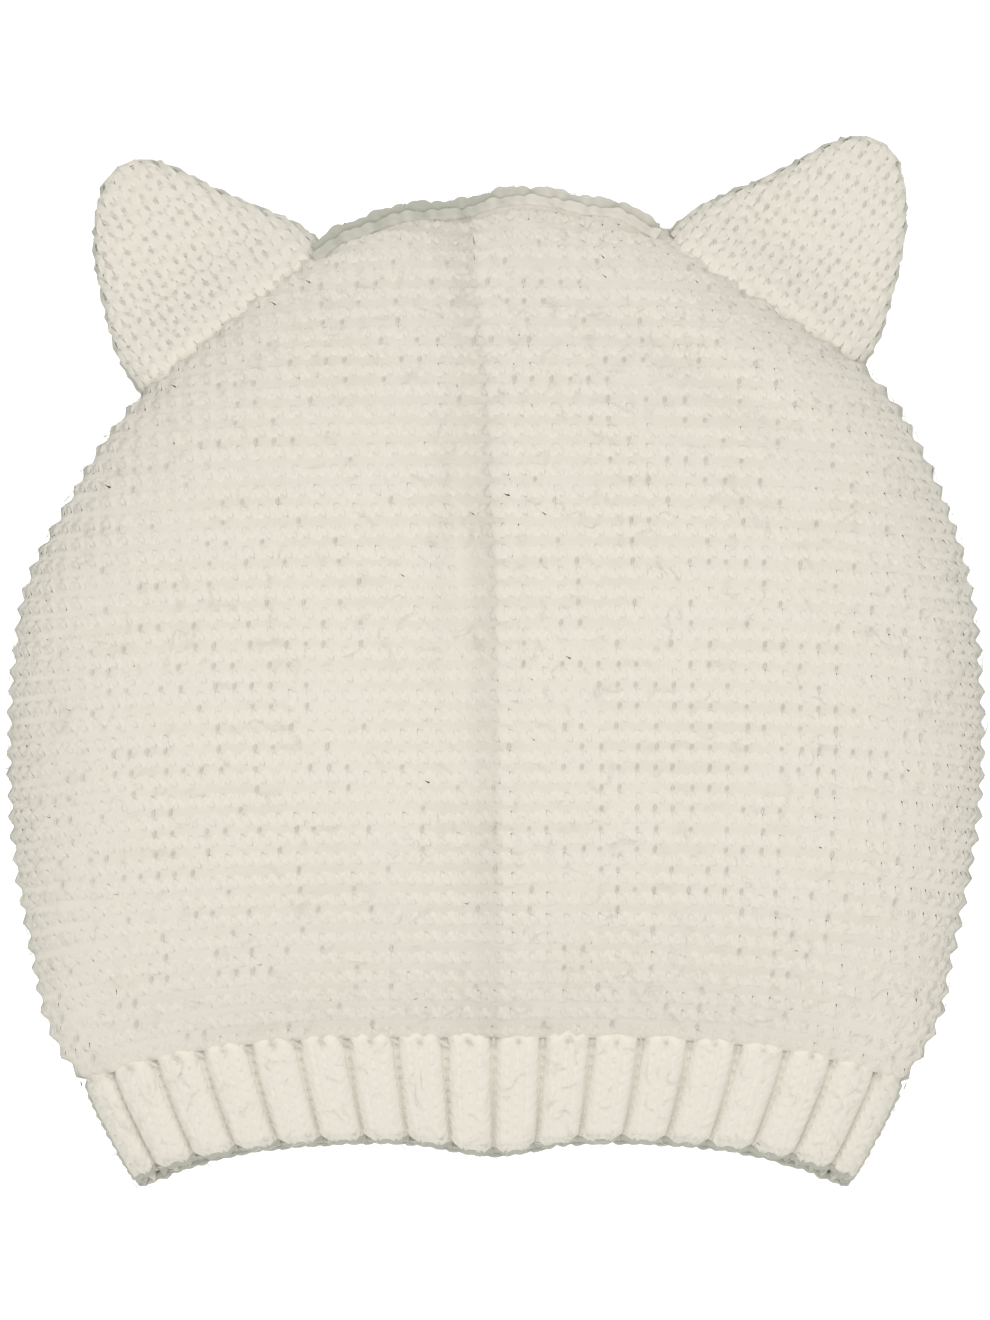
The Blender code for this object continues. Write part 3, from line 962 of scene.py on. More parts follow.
class Crown:
    """The garter stitch bag of the hat, knitted in closed rounds from the band to the top fold."""

    row_pitch = 2.12 * MM
    middle_depth = 2.15 * MM
    sheet_depth = 1.12 * MM
    sheet_half = 0.18 * MM
    # Painted shade of the inner sheet that shows between the loops.
    sheet_shade = 0.75
    softness = 3.4
    last_share = 0.9955
    wave_start = 0.90
    wave_reach = 0.06
    rise_share = 0.6
    shape = LoopShape(reach=1.22 * MM, bulge=0.07, relief=0.64 * MM, radius=1.62 * MM, squeeze=0.14)
    pitch_by_share = ((0.0, 3.55 * MM), (0.35, 3.76 * MM), (0.7, 3.90 * MM), (1.0, 3.90 * MM))
    names = ("crown_lower", "crown_middle", "crown_upper", "crown_high", "crown_top")
    slack = (
        Bell(0.036, 0.052, 0.040, 0.0045, -38.0, 1.0),
        Bell(0.043, -0.021, 0.026, 0.024, 0.0, 0.8),
        Bell(-0.030, -0.056, 0.016, 0.018, 0.0, 0.5),
    )
    lumps = ((0.55, 4.3), (0.70, 9.1), (0.45, 2.6))
    # The last number of each roll is its painted shade.
    roll_leading = (1.5 * MM, 1.35 * MM, 0.0, 2.20)
    roll_behind = (3.4 * MM, 1.20 * MM, 2.6, 1.75)
    roll_normal = (0.0, 0.35, 0.94)
    roll_x = (-38.0, 34.0)
    roll_nearness = 0.7 * MM
    roll_swell = 0.14
    # Painted light where the cloth starts to tilt away from the lamp.
    tilt_light = 1.2
    tilt_reach = 0.3
    # Painted shade left of the seam line.
    seam_shade = 0.65
    slack_sink = 0.35 * MM
    welt_height = 0.34 * MM
    valley_depth = 0.30 * MM
    seam_loss = 0.15 * MM
    unevenness = 0.10 * MM
    spots = HoleShades(length=1.5 * MM, width=0.58 * MM)
    spot_depth = 0.45 * MM
    spot_chance = 0.19
    spot_facing = 0.45
    # Patches with more or fewer open spots of painted shade.
    openness = (
        Bell(-0.062, -0.015, 0.030, 0.045, 0.0, 0.35),
        Bell(0.040, -0.021, 0.036, 0.028, 0.0, 0.55),
        Bell(0.045, 0.052, 0.040, 0.014, -20.0, 0.35),
        Bell(-0.030, 0.070, 0.030, 0.018, 0.0, 0.20),
        Bell(-0.006, 0.010, 0.014, 0.080, 0.0, -0.30),
    )
    # Painted shade under the rolled top edge.
    shades = (
        Bell(-0.021, 0.0932, 0.0130, 0.0026, 7.0, 1.0),
        Bell(-0.036, 0.0885, 0.0040, 0.0022, 30.0, 0.8),
        Bell(0.014, 0.0985, 0.0200, 0.0014, -4.0, 0.7),
        Bell(0.031, 0.0940, 0.0080, 0.0016, -22.0, 0.8),
    )
    edge_wave = (
        (-41.0, 0.0), (-37.0, -1.6), (-32.8, 1.0), (-28.6, 0.0), (-24.4, 0.4), (-20.2, 0.6), (-16.0, 0.0),
        (-11.8, -0.8), (-7.6, -1.2), (-3.4, -0.9), (0.8, 0.5), (5.0, 0.9), (9.2, 0.7), (13.4, 0.4),
        (17.6, -0.5), (21.8, 0.2), (26.0, 0.6), (30.0, 0.0), (34.0, -0.4), (38.0, 0.0),
    )

    def __init__(self, sizes: HatSizes, finish: YarnFinish, seed: int = 7) -> None:
        """Lays out the cloth of the crown.

        Args:
            sizes: the hat's sizes.
            finish: the wool's finish.
            seed: seed of the small irregularities of hand knitting.
        """
        self.sizes = sizes
        self.finish = finish
        self.random = np.random.default_rng(seed)
        shares = np.concatenate([np.linspace(0.0, 0.9, 150), np.linspace(0.9, self.last_share, 70)[1:]])
        angle = math.pi / 2 - np.linspace(0.0, 2 * math.pi, ROUND_STEPS, endpoint=False)
        loops = sizes.crown_points(shares, angle)
        wave = np.interp(loops[..., 0] / MM, *np.array(self.edge_wave).T) * MM
        loops[..., 1] += wave * np.clip((shares[:, None] - self.wave_start) / self.wave_reach, 0.0, 1.0)
        front = loops[:, 0]
        rise = np.gradient(front[:, 2])
        run = np.gradient(front[:, 1])
        up = np.cumsum(np.hypot(run, self.rise_share * rise))
        self.up = up - up[0]
        seam = np.array(SEAM_LINE)
        start = np.interp(shares, seam[:, 0], seam[:, 1]) - front[:, 0]
        self.shares = shares
        self.cloth = Cloth(loops, self.up, start)

    def stitch_width(self, v: Array) -> Array:
        """The stitch's width, which grows from the band upwards.

        Args:
            v: distances up the cloth.

        Returns:
            The width at each.
        """
        share = np.interp(v, self.up, self.shares)
        return np.interp(share, *np.array(self.pitch_by_share).T)

    def seam_relief(self, v: Array, s: Array) -> Array:
        """The seam: a welt to the right of its line and a crease to the left, both as bells across s.

        Above the lower fifth the welt is narrow and high, and it widens and sinks towards the band.

        Args:
            v: distances up the cloth.
            s: distances right of the seam line.

        Returns:
            How far the cloth stands out.
        """
        low = np.clip(1 - v / (0.2 * self.up[-1]), 0.0, 1.0)
        s = s + 0.3 * MM * np.cos(math.pi * v / self.row_pitch)
        right = 0.5 + 0.5 * np.tanh(s / (0.9 * MM))
        loss = self.seam_loss * low
        welt = (self.welt_height - loss) * np.exp(-(((s - 1.5 * MM) / ((3.2 + 4.5 * low) * MM)) ** 2))
        valley = (self.valley_depth - loss) * np.exp(-((s / (9.0 * MM)) ** 2))
        return right * welt - (1 - right) * valley

    def shade(self, points: Array, normal: Array, s: Array) -> Array:
        """How much painted shade the wool takes: left of the seam, at the folds and under the rolled top
        edge.

        Where the cloth only starts to tilt it is painted lighter, by tilt_light t exp(-(t/tilt_reach)^2).

        Args:
            points: places on the cloth.
            normal: the cloth's outward normals there.
            s: distances right of the seam line.

        Returns:
            What the depth map gains at each place.
        """
        beside = (0.5 - 0.5 * np.tanh(s / (0.5 * MM))) * np.exp(-((s / (8.5 * MM)) ** 2))
        tilt = 1 - np.abs(normal[..., 2])
        fold = fold_shade(normal) - tilt * np.exp(-((tilt / self.tilt_reach) ** 2)) * self.tilt_light
        rolled = bell_sum(self.shades, points[..., 0], points[..., 1])
        return self.seam_shade * beside * (normal[..., 2] > 0) + fold + rolled

    def relief(self, v: Array, s: Array) -> Array:
        """How far the cloth's face is raised by the seam, less what it sinks where it is slack.

        Args:
            v: distances up the cloth.
            s: distances right of the seam line.

        Returns:
            The relief at each place.
        """
        base, _ = self.cloth.at(v, s, np.zeros_like(s))
        slack = bell_sum(self.slack, base[..., 0], base[..., 1]) * (base[..., 2] > self.sizes.side_fold)
        return self.seam_relief(v, s) - self.slack_sink * slack

    def course(self, number: int) -> tuple[Array, Array, Array, Array]:
        """One round of yarn.

        Args:
            number: the row, counted from the band.

        Returns:
            Its middle line, the cloth's normals, its radius and its depth in the cloth with painted shade,
            point by point.
        """
        v_row = (number + 0.5) * self.row_pitch
        length = float(self.cloth.length_at(v_row))
        pitch = float(self.stitch_width(v_row))
        stitches = max(int(round(length / pitch)), 6)
        steps = self.shape.steps
        turn = 2 * math.pi * np.arange(stitches * steps) / steps
        index = np.arange(stitches * steps) / steps
        right = (stitches + 1) // 2
        signed = np.where(index < right, index, index - stitches)
        stitch = Stitch.GARTER_PURL if number % 2 == 0 else Stitch.GARTER_KNIT
        across, up, out = self.shape.offsets(turn, stitch, pitch)
        slip = length - stitches * pitch
        s = signed * pitch + np.where(signed < 0, -1, 1) * 0.5 * slip * np.abs(signed / (stitches / 2)) ** 6
        each = self.random.normal(size=(4, stitches)).repeat(steps, axis=1)
        wobble = 0.16 * MM * np.sin(s / (23 * MM) + number * 0.9)
        wobble = wobble + 0.12 * MM * np.sin(s / (9 * MM) - number * 1.7)
        s = s + across + self.unevenness * each[0] * np.sin(turn / 2) ** 2
        v = v_row + up * (1 + 0.04 * each[1]) + wobble
        lift = out * (1 + 0.08 * each[2]) + self.unevenness * each[3] * np.sin(turn / 2) ** 2
        v = np.minimum(v, self.up[-1])
        path, normal = self.cloth.draped(v, s, lift - self.middle_depth, self.relief)
        slack = bell_sum(self.slack, path[:, 0], path[:, 1])
        radius = self.shape.thickness(turn) * (1 + 0.05 * each[1]) * (1 - 0.10 * slack)
        # Painted shade: yarn that lies lower takes a darker colour, plus the seam's, folds' and top's
        # shade.
        depth = np.clip(0.5 - 0.5 * lift / self.shape.relief, 0.0, 1.0) + self.shade(path, normal, s)
        return path, normal, radius, depth

    def add_spots(self, parts: MeshParts, first: int, last: int) -> None:
        """Adds open spots of painted shade in the creases between the ridges, at the stitch pitch, more
        where it is slack.

        Args:
            parts: the piece under way.
            first: its first row.
            last: the row after its last.
        """
        rows = np.arange(first + 1 - first % 2, last, 2)[:, None]
        column = np.arange(-28, 28)[None, :]
        v = rows * self.row_pitch + 0.0 * column
        s = (column + 0.5) * self.stitch_width(v)
        base, normal = self.cloth.at(v, s, 0.0 * s)
        chance = self.spot_chance + bell_sum(self.openness, base[..., 0], base[..., 1])
        kept = (normal[..., 2] > self.spot_facing) & (self.random.random(v.shape) < chance)
        v, s = v[kept], s[kept]
        s = s + self.random.normal(0.0, 0.15 * MM, len(s))
        self.spots.add(parts, self.cloth, v, s, self.relief(v, s) - self.spot_depth, self.random)

    def top_roll(self, back: float, radius: float, turn: float, shade: float) -> Strand:
        """One strand of the rolled edge along the top, thicker and thinner by turns.

        It runs at a distance inside the outline seen from above, on the highest cloth there. Its lumps
        are a sum of sines of x, with the sizes and steps of lumps, in mm.

        Args:
            back: the distance.
            radius: the strand's mean radius.
            turn: where its lumps start, as an angle.
            shade: its mean painted shade on the left, which lessens to the right.

        Returns:
            Its middle line, normals, radius, sides and depth, as add_strand takes them.
        """
        points = self.cloth.points.reshape(-1, 3)
        zero = 150
        bins = np.round(points[:, 0] / MM).astype(int) + zero
        edge = np.full(2 * zero + 1, -1.0)
        np.maximum.at(edge, bins, points[:, 1])
        near = np.abs(points[:, 1] - edge[bins] + back) < self.roll_nearness
        high = np.zeros(2 * zero + 1)
        np.maximum.at(high, bins[near], points[near, 2])
        place = np.flatnonzero(high > 0.0)
        even = np.full(5, 0.2)
        x = np.linspace(*self.roll_x, 180)
        y, z = (np.interp(x, place - zero, np.convolve(line[place], even, "same")) for line in (edge, high))
        lump = sum(size * np.sin(2 * math.pi * x / step + turn) for size, step in self.lumps)
        # Painted shade: darker on the left, and where the roll is thinner.
        shade = shade - 0.35 * (1 + np.tanh(x / 5.0))
        path = np.stack([x * MM, y - back + 0.10 * radius * lump, z - 0.75 * radius], axis=1)
        normal = np.tile(self.roll_normal, (len(x), 1))
        return path, normal, radius * (1 + self.roll_swell * lump), 6, shade - 0.20 * lump

    def knit(self) -> list[bpy.types.Object]:
        """Knits all rounds, in five pieces from the band upwards, each with its own inner sheet.

        Returns:
            The pieces.
        """
        rows = int((self.up[-1] - self.shape.reach) / self.row_pitch + 0.7)
        shares = np.linspace(0, rows, len(self.names) + 1).round().astype(int)
        pieces = []
        material = self.finish.material()
        for name, first, last in zip(self.names, shares[:-1], shares[1:]):
            parts = MeshParts(softness=self.softness)
            for number in range(first, last):
                path, normal, radius, depth = self.course(number)
                parts.add_strand(path, normal, radius, self.shape.sides, depth, closed=True)
            self.add_spots(parts, first, last)
            if last == rows:
                for roll in (self.roll_leading, self.roll_behind):
                    parts.add_strand(*self.top_roll(*roll), closed=False)
            top = self.up[-1] if last == rows else last * self.row_pitch
            self.add_sheet(parts, first * self.row_pitch if first else -1.5 * MM, top)
            pieces.append(parts.build(name, material))
        return pieces

    def add_sheet(self, parts: MeshParts, low: float, high: float) -> None:
        """Adds the thin wall that the loops lie on, coloured with painted shade where it shows between
        them.

        Args:
            parts: the piece under way.
            low: where the wall starts, up the cloth.
            high: where it ends.
        """
        v = np.linspace(low, high, 16)[:, None]
        share = np.arange(132)[None, :] / 132
        s = share * self.cloth.length_at(v)
        v = v + 0.0 * s
        signed = np.where(share < 0.5, s, s - self.cloth.length_at(v))
        high, low = (side * self.sheet_half - self.sheet_depth + 0.0 * s for side in (1, -1))
        outer, normal = self.cloth.draped(v, signed, high, self.relief)
        inner, _ = self.cloth.draped(v, signed, low, self.relief)
        parts.add_sheet(outer, inner, normal, self.sheet_shade + self.shade(outer, normal, signed))


class RibBand:
    """The two by one ribbed band at the opening."""

    length = 26.6 * MM
    top_half = 87.1 * MM
    hem_half = 75.7 * MM
    repeats = 36
    rows = 10
    below_rows = 3.1 * MM
    above_rows = 2.3 * MM
    narrowing = 1.15
    hem_rise = 1.0 * MM
    hem_sag = 3.0 * MM
    hem_sag_reach = 12.5 * MM
    gap = 0.5 * MM
    middle_depth = 1.6 * MM
    sheet_depth = 0.95 * MM
    groove = 1.45 * MM
    sheet_half = 0.18 * MM
    groove_share = 0.19
    groove_reach = 0.105
    groove_end = 2.2 * MM
    purl_drop = 0.9 * MM
    rib_round = 0.17 * MM
    edge_radius = 1.35 * MM
    # Painted shade of the cast-on edge at the hem.
    edge_shade = 2.0
    top_sink = 0.8 * MM
    top_sink_reach = 2.4 * MM
    groove_spots = HoleShades(length=1.9 * MM, width=0.95 * MM, slant=0.0)
    rib_spots = HoleShades(length=1.3 * MM, width=0.60 * MM, slant=0.0)
    spot_height = 0.0
    loft_by_share = ((0.0, 1.0), (0.3, 0.97), (0.7, 0.93), (0.88, 0.90), (0.94, 0.82), (1.0, 0.62))
    shape = LoopShape(reach=2.0 * MM, bulge=0.03, relief=0.40 * MM, radius=1.25 * MM, squeeze=0.12)

    def __init__(self, sizes: HatSizes, finish: YarnFinish, seed: int = 11) -> None:
        """Lays out the cloth of the band.

        Args:
            sizes: the hat's sizes.
            finish: the wool's finish.
            seed: seed of the small irregularities.
        """
        self.sizes = sizes
        self.finish = finish
        self.random = np.random.default_rng(seed)
        share = np.linspace(1.0, 0.0, 40)
        first = CROWN_COURSES[0]
        half = (self.top_half + (self.hem_half - self.top_half) * share**self.narrowing)[:, None]
        centre = first.centre * sizes.half_width
        loft = np.interp(share, *np.array(self.loft_by_share).T)[:, None]
        fold = first.fold * sizes.side_fold * loft
        angle = math.pi / 2 - np.linspace(0.0, 2 * math.pi, ROUND_STEPS, endpoint=False)[None, :]
        front = first.front * sizes.front_rise * loft
        xz = sizes.round_of(half, centre, fold, front, first.back * fold, angle)
        x = xz[..., 0]
        along = share[:, None]
        droop = sizes.droop_at(x, half, centre, sizes.course_droop - self.hem_rise * along)
        sag = self.hem_sag * along * np.exp(-(((x - centre) / self.hem_sag_reach) ** 2))
        y = sizes.edge_y - self.gap - along * (self.length - self.hem_sag) - sag - droop
        loops = np.stack([x, y, xz[..., 1]], axis=-1)
        self.cloth = Cloth(loops, -share * self.length, np.zeros(len(share)))

    def groove_depth(self, v: Array, repeat: Array) -> Array:
        """How deep the cloth lies in the groove between two ribs: a bell about each whole repeat.

        Near the hem the grooves run out: there they lose most of their depth.

        Args:
            v: distances up the cloth.
            repeat: places round the band, counted in repeats.

        Returns:
            The depth.
        """
        off = repeat - np.round(repeat)
        runs_out = 1 - 0.75 * np.exp(-(((v + self.length) / self.groove_end) ** 2))
        return self.groove * runs_out * np.exp(-((off / self.groove_reach) ** 2))

    def groove_shade(self, v: Array, repeat: Array) -> Array:
        """How deep in the cloth a place counts as, for its painted shade: most in a groove, and near the
        hem.

        Args:
            v: distances up the cloth, from 0 at its top to -length at the hem.
            repeat: places round the band, counted in repeats.

        Returns:
            The depth, from 0 up.
        """
        return self.groove_depth(v, repeat) / self.groove * (1.0 - 0.9 * v / self.length)

    def relief(self, v: Array, s: Array) -> Array:
        """How far the band's face is raised by its ribs' rounding, less the grooves' depth.

        At its top it sinks by a bell about the line where it goes under the crown.

        Args:
            v: distances up the cloth.
            s: distances round it.

        Returns:
            The relief at each place.
        """
        repeat = s * self.repeats / self.cloth.length_at(v)
        under = self.top_sink * np.exp(-((v / self.top_sink_reach) ** 2))
        return -self.rib_round * np.cos(2 * math.pi * repeat) - self.groove_depth(v, repeat) - under

    def course(self, number: int) -> tuple[Array, Array, Array, Array]:
        """One round of yarn: a purl stitch in each groove and two knit ones on each rib.

        Args:
            number: the row, counted from the hem.

        Returns:
            Its middle line, normals, radius and depth with painted shade, point by point.
        """
        between = self.length - self.below_rows - self.above_rows
        v_row = -self.length + self.below_rows + number * between / (self.rows - 1)
        length = self.cloth.length_at(v_row)
        steps = self.shape.steps
        stitches = 3 * self.repeats
        index = np.arange(stitches * steps) / steps
        turn = 2 * math.pi * index - math.pi
        edges = np.array([0.0, 0.5 * self.groove_share, 0.5, 1 - 0.5 * self.groove_share, 1.0])
        count = index / 3
        inside = np.interp((count % 1.0), [0.0, 1 / 6, 0.5, 5 / 6, 1.0], edges)
        repeat = np.floor(count) + inside
        purl = (index % 3 < 0.5) | (index % 3 >= 2.5)
        wide = np.where(purl, self.groove_share, (1 - self.groove_share) / 2)
        width = wide * length / self.repeats
        across, up, out = self.shape.offsets(turn, Stitch.SMOOTH, width)
        out = np.where(purl, -out, out)
        each = self.random.normal(size=(3, stitches)).repeat(steps, axis=1)
        v = v_row + up * (1 + 0.04 * each[0]) + 0.10 * MM * np.sin(index * 0.8 + number)
        s = repeat * self.cloth.length_at(v) / self.repeats + across
        lift = out * (1 + 0.08 * each[1])
        lift = lift - np.where(purl, self.purl_drop, 0.0)
        path, normal = self.cloth.draped(v, s, lift - self.middle_depth, self.relief)
        radius = self.shape.thickness(turn) * (1 + 0.03 * each[2]) * np.where(purl, 0.65, 1.05)
        # Painted shade: lower yarn, the grooves, the hem and the folds take a darker colour.
        depth = np.clip(0.25 - 0.25 * lift / self.shape.relief, 0.0, 0.6) + self.groove_shade(v, repeat)
        return path, normal, radius, depth + fold_shade(normal)

    def add_spots(self, parts: MeshParts) -> None:
        """Adds an open spot of painted shade at the top of each groove and a smaller one at the middle of
        each rib's top.

        Args:
            parts: the piece under way.
        """
        for spots, first in ((self.groove_spots, 0.0), (self.rib_spots, 0.5)):
            repeat = np.arange(self.repeats) + first
            v = self.random.normal(-1.3 * MM, 0.2 * MM, self.repeats)
            s = repeat * self.cloth.length_at(v) / self.repeats
            spots.add(parts, self.cloth, v, s, np.full(self.repeats, self.spot_height), self.random)

    def edge(self) -> Strand:
        """The cast-on edge: one strand along the hem, in painted shade, that swells a little at each
        stitch.

        Returns:
            Its middle line, normals, radius, sides and depth, as add_strand takes them.
        """
        stitches = 3 * self.repeats
        index = np.arange(6 * stitches) / 6
        each = self.random.normal(size=stitches).repeat(6)
        swell = 0.16 * MM * np.cos(2 * math.pi * index) + 0.10 * MM * each * np.sin(math.pi * index) ** 2
        v = -self.length + 0.9 * MM - 0.5 * swell
        s = index / stitches * self.cloth.length_at(v)
        path, normal = self.cloth.draped(v, s, 0.5 * swell - self.middle_depth, self.relief)
        return path, normal, self.edge_radius + 0.6 * swell, 6, np.full(len(index), self.edge_shade)

    def knit(self) -> bpy.types.Object:
        """Knits the band.

        Returns:
            The piece.
        """
        parts = MeshParts()
        for number in range(self.rows):
            path, normal, radius, depth = self.course(number)
            parts.add_strand(path, normal, radius, self.shape.sides, depth, closed=True)
        parts.add_strand(*self.edge(), closed=True)
        self.add_spots(parts)
        v = np.linspace(-self.length + 0.8 * MM, 1.2 * MM, 12)[:, None]
        columns = 12 * self.repeats
        share = np.arange(columns)[None, :] / columns
        s = share * self.cloth.length_at(v)
        v = v + 0.0 * s
        outer, normal = self.cloth.draped(v, s, self.sheet_half - self.sheet_depth + 0.0 * s, self.relief)
        inner, _ = self.cloth.draped(v, s, -self.sheet_half - self.sheet_depth + 0.0 * s, self.relief)
        # The sheet takes the grooves' painted shade.
        parts.add_sheet(outer, inner, normal, self.groove_shade(v, share * self.repeats))
        return parts.build("rib_band_knit", self.finish.material())


class Ear:
    """One ear: a flat pocket of stocking stitch whose wales run from its sewn base to its tip."""

    half_base = 24.6 * MM
    thickness = 9.8 * MM
    tuck = 1.9 * MM
    tip_drop = 4.0 * MM
    start_inside = 16.0 * MM
    last_part = np.linspace(0.85, 0.998, 40)[1:]
    flatness = 2.6
    fillet = 4.0 * MM
    fillet_reach = 9.0 * MM
    row_pitch = 3.15 * MM
    wale = 4.6 * MM
    middle_depth = 1.7 * MM
    inset = 0.8 * MM
    sheet_half = 0.18 * MM
    spots = HoleShades(length=1.3 * MM, width=0.8 * MM, slant=-0.3)
    spot_height = 1.22 * MM
    spot_pitch = (2.35 * MM, 2.60 * MM)
    spot_chance = 0.75
    spot_facing = 0.9
    spot_end = 5.0 * MM
    seam_depth = 3.0 * MM
    yarn_seam_depth = 4.6 * MM
    shape = LoopShape(reach=2.55 * MM, bulge=0.05, relief=0.42 * MM, radius=1.28 * MM, squeeze=0.15)

    def __init__(self, seat: EarSeat, sizes: HatSizes, finish: YarnFinish, seed: int) -> None:
        """Lays out the cloth of the ear.

        Args:
            seat: where it is sewn on.
            sizes: the hat's sizes.
            finish: the wool's finish.
            seed: seed of the small irregularities.
        """
        self.seat = seat
        self.sizes = sizes
        self.finish = finish
        self.random = np.random.default_rng(seed)
        lean = math.radians(seat.lean_deg) * seat.side
        self.axis = np.array([math.sin(lean), math.cos(lean), 0.0])
        self.right = np.array([math.cos(lean), -math.sin(lean), 0.0])
        self.base = sizes.shoulder(seat.along, seat.side) - self.axis * self.tuck
        tip = seat.height - self.inset
        along = np.concatenate([np.linspace(-self.start_inside, 0.85 * tip, 90), self.last_part * tip])
        angle = math.pi / 2 - np.linspace(0.0, 2 * math.pi, 720, endpoint=False)
        self.cloth = Cloth(self.lens(along, angle), along, np.zeros(len(along)))

    def lens(self, along: Array, angle: Array) -> Array:
        """The middle of the ear's yarn: flat rounds with rolled edges, across its axis.

        With a half width and an edge radius, x is (half - edge) tanh(flatness cos a) / tanh(flatness)
        plus edge cos a, and z is edge sin a. The tip sinks by a drop, and the front is raised by a
        fillet where it runs into the crown.

        Args:
            along: distances from the base along the axis.
            angle: angles round a lens, 90 degrees at the front's middle.

        Returns:
            Points, lenses by angles by three.
        """
        whole = self.seat.height - self.inset
        row = smooth_table(EAR_OUTLINE, np.clip(along / whole, 0.0, 1.0))[:, :, None]
        cos, sin = np.cos(angle)[None, :], np.sin(angle)[None, :]
        half = np.where(cos * self.seat.side >= 0, row[:, 2], row[:, 1]) * (self.half_base - self.inset)
        edge = np.minimum(row[:, 3] * (self.thickness / 2 - self.middle_depth), 0.9 * half)
        side = (half - edge) * np.tanh(self.flatness * cos) / math.tanh(self.flatness) + edge * cos
        drop = (self.tip_drop * np.clip(along / self.seat.height, 0.0, 1.0))[:, None]
        fillet = self.fillet * np.exp(-((np.maximum(along, 0.0) / self.fillet_reach) ** 2))[:, None]
        flat = self.base + along[:, None, None] * self.axis + side[..., None] * self.right
        flat[..., 2] += edge * sin - drop + fillet * np.clip(sin, 0.0, 1.0) ** 2
        return flat

    def course(self, number: int, first: float) -> tuple[Array, Array, Array, Array, Array]:
        """One round of yarn.

        Args:
            number: the row, counted from the first.
            first: where the first row lies along the axis.

        Returns:
            Its middle line, normals, radius and depth with painted shade, and whether each stitch shows,
            point by point.
        """
        v_row = first + number * self.row_pitch
        length = float(self.cloth.length_at(v_row))
        stitches = max(int(round(length / self.wale / 2)) * 2, 4)
        steps = self.shape.steps
        index = np.arange(stitches * steps) / steps
        signed = np.where(index < stitches / 2, index, index - stitches)
        slip = length - stitches * self.wale
        s = signed * self.wale + np.sign(signed) * 0.5 * slip * np.abs(signed / (stitches / 2)) ** 3
        turn = 2 * math.pi * index
        across, up, out = self.shape.offsets(turn, Stitch.SMOOTH, self.wale)
        each = self.random.normal(size=(3, stitches)).repeat(steps, axis=1)
        v = np.minimum(v_row + up * (1 + 0.04 * each[0]), self.cloth.up[-1])
        lift = out * (1 + 0.08 * each[1])
        path, normal = self.cloth.at(v, s + across, lift)
        radius = self.shape.thickness(turn) * (1 + 0.03 * each[2])
        # Painted shade: lower yarn and the folds take a darker colour.
        depth = np.clip(0.5 - 0.5 * lift / self.shape.relief, 0.0, 1.0) + fold_shade(normal)
        shown = self.sizes.depth_in_crown(path) < self.yarn_seam_depth
        return path, normal, radius, depth, shown

    def knit(self) -> bpy.types.Object:
        """Knits the ear, leaving out what would lie inside the crown.

        Returns:
            The piece.
        """
        parts = MeshParts()
        first = self.seat.height - self.inset - 1.4 * MM
        rows = int((first + self.start_inside) / self.row_pitch)
        for number in range(rows + 1):
            path, normal, radius, depth, shown = self.course(-number, first)
            if shown.all():
                parts.add_strand(path, normal, radius, self.shape.sides, depth, closed=True)
                continue
            for run in shown_runs(shown):
                strand = (path[run], normal[run], radius[run], self.shape.sides, depth[run])
                parts.add_strand(*strand, closed=False)
        self.add_sheet(parts)
        self.add_spots(parts)
        return parts.build(self.seat.node + "_knit", self.finish.material())

    def add_spots(self, parts: MeshParts) -> None:
        """Adds open spots of painted shade in slanting lines over both faces.

        Args:
            parts: the piece under way.
        """
        across, up = self.spot_pitch
        row = np.arange(1, 17)[:, None]
        column = np.arange(-24, 24)[None, :]
        v = row * up + 0.0 * column
        s = column * across + 0.35 * across * row
        length = self.cloth.length_at(v)
        base, normal = self.cloth.at(v, s, 0.0 * s)
        kept = (np.abs(s) < length / 2) & (self.sizes.depth_in_crown(base) < -0.5 * MM)
        kept &= (np.abs(normal[..., 2]) > self.spot_facing) & (v < self.seat.height - self.spot_end)
        kept &= self.random.random(v.shape) < self.spot_chance
        height = np.full(kept.sum(), self.spot_height)
        self.spots.add(parts, self.cloth, v[kept], s[kept], height, self.random)

    def add_sheet(self, parts: MeshParts) -> None:
        """Adds the thin wall under the loops, in painted shade. Each of its lines starts where it comes out
        of the crown.

        Args:
            parts: the piece under way.
        """
        columns, rounds = 72, 18
        share = np.arange(columns)[None, :] / columns
        probe = np.linspace(-self.start_inside, 0.6 * self.seat.height, 120)[:, None]
        place = (probe + 0.0 * share, share * self.cloth.length_at(probe))
        points, _ = self.cloth.at(*place, 0.0 * place[0])
        inside = self.sizes.depth_in_crown(points) > self.seam_depth
        start = np.where(inside, probe, -self.start_inside).max(axis=0)[None, :]
        t = np.linspace(0.0, 1.0, rounds)[:, None]
        v = start + t * (0.985 * (self.seat.height - self.inset) - start)
        s = share * self.cloth.length_at(v)
        outer, normal = self.cloth.at(v, s, self.sheet_half + 0.0 * v)
        inner, _ = self.cloth.at(v, s, -self.sheet_half + 0.0 * v)
        # The sheet takes the full shade colour: painted shade between the loops.
        parts.add_sheet(outer, inner, normal, 1.0 + 0.0 * s)


def shown_runs(shown: Array) -> list[Array]:
    """The stretches of a closed row whose points show, each as indices in order round the row.

    Args:
        shown: for each point of the row, whether it shows.

    Returns:
        The stretches that have four points or more.
    """
    if not shown.any():
        return []
    turn = int(np.argmin(shown))
    order = np.roll(np.arange(len(shown)), -turn)
    marks = np.flatnonzero(np.diff(np.concatenate([[0], shown[order].astype(int), [0]])))
    return [order[a:b] for a, b in marks.reshape(-1, 2) if b - a >= 4]


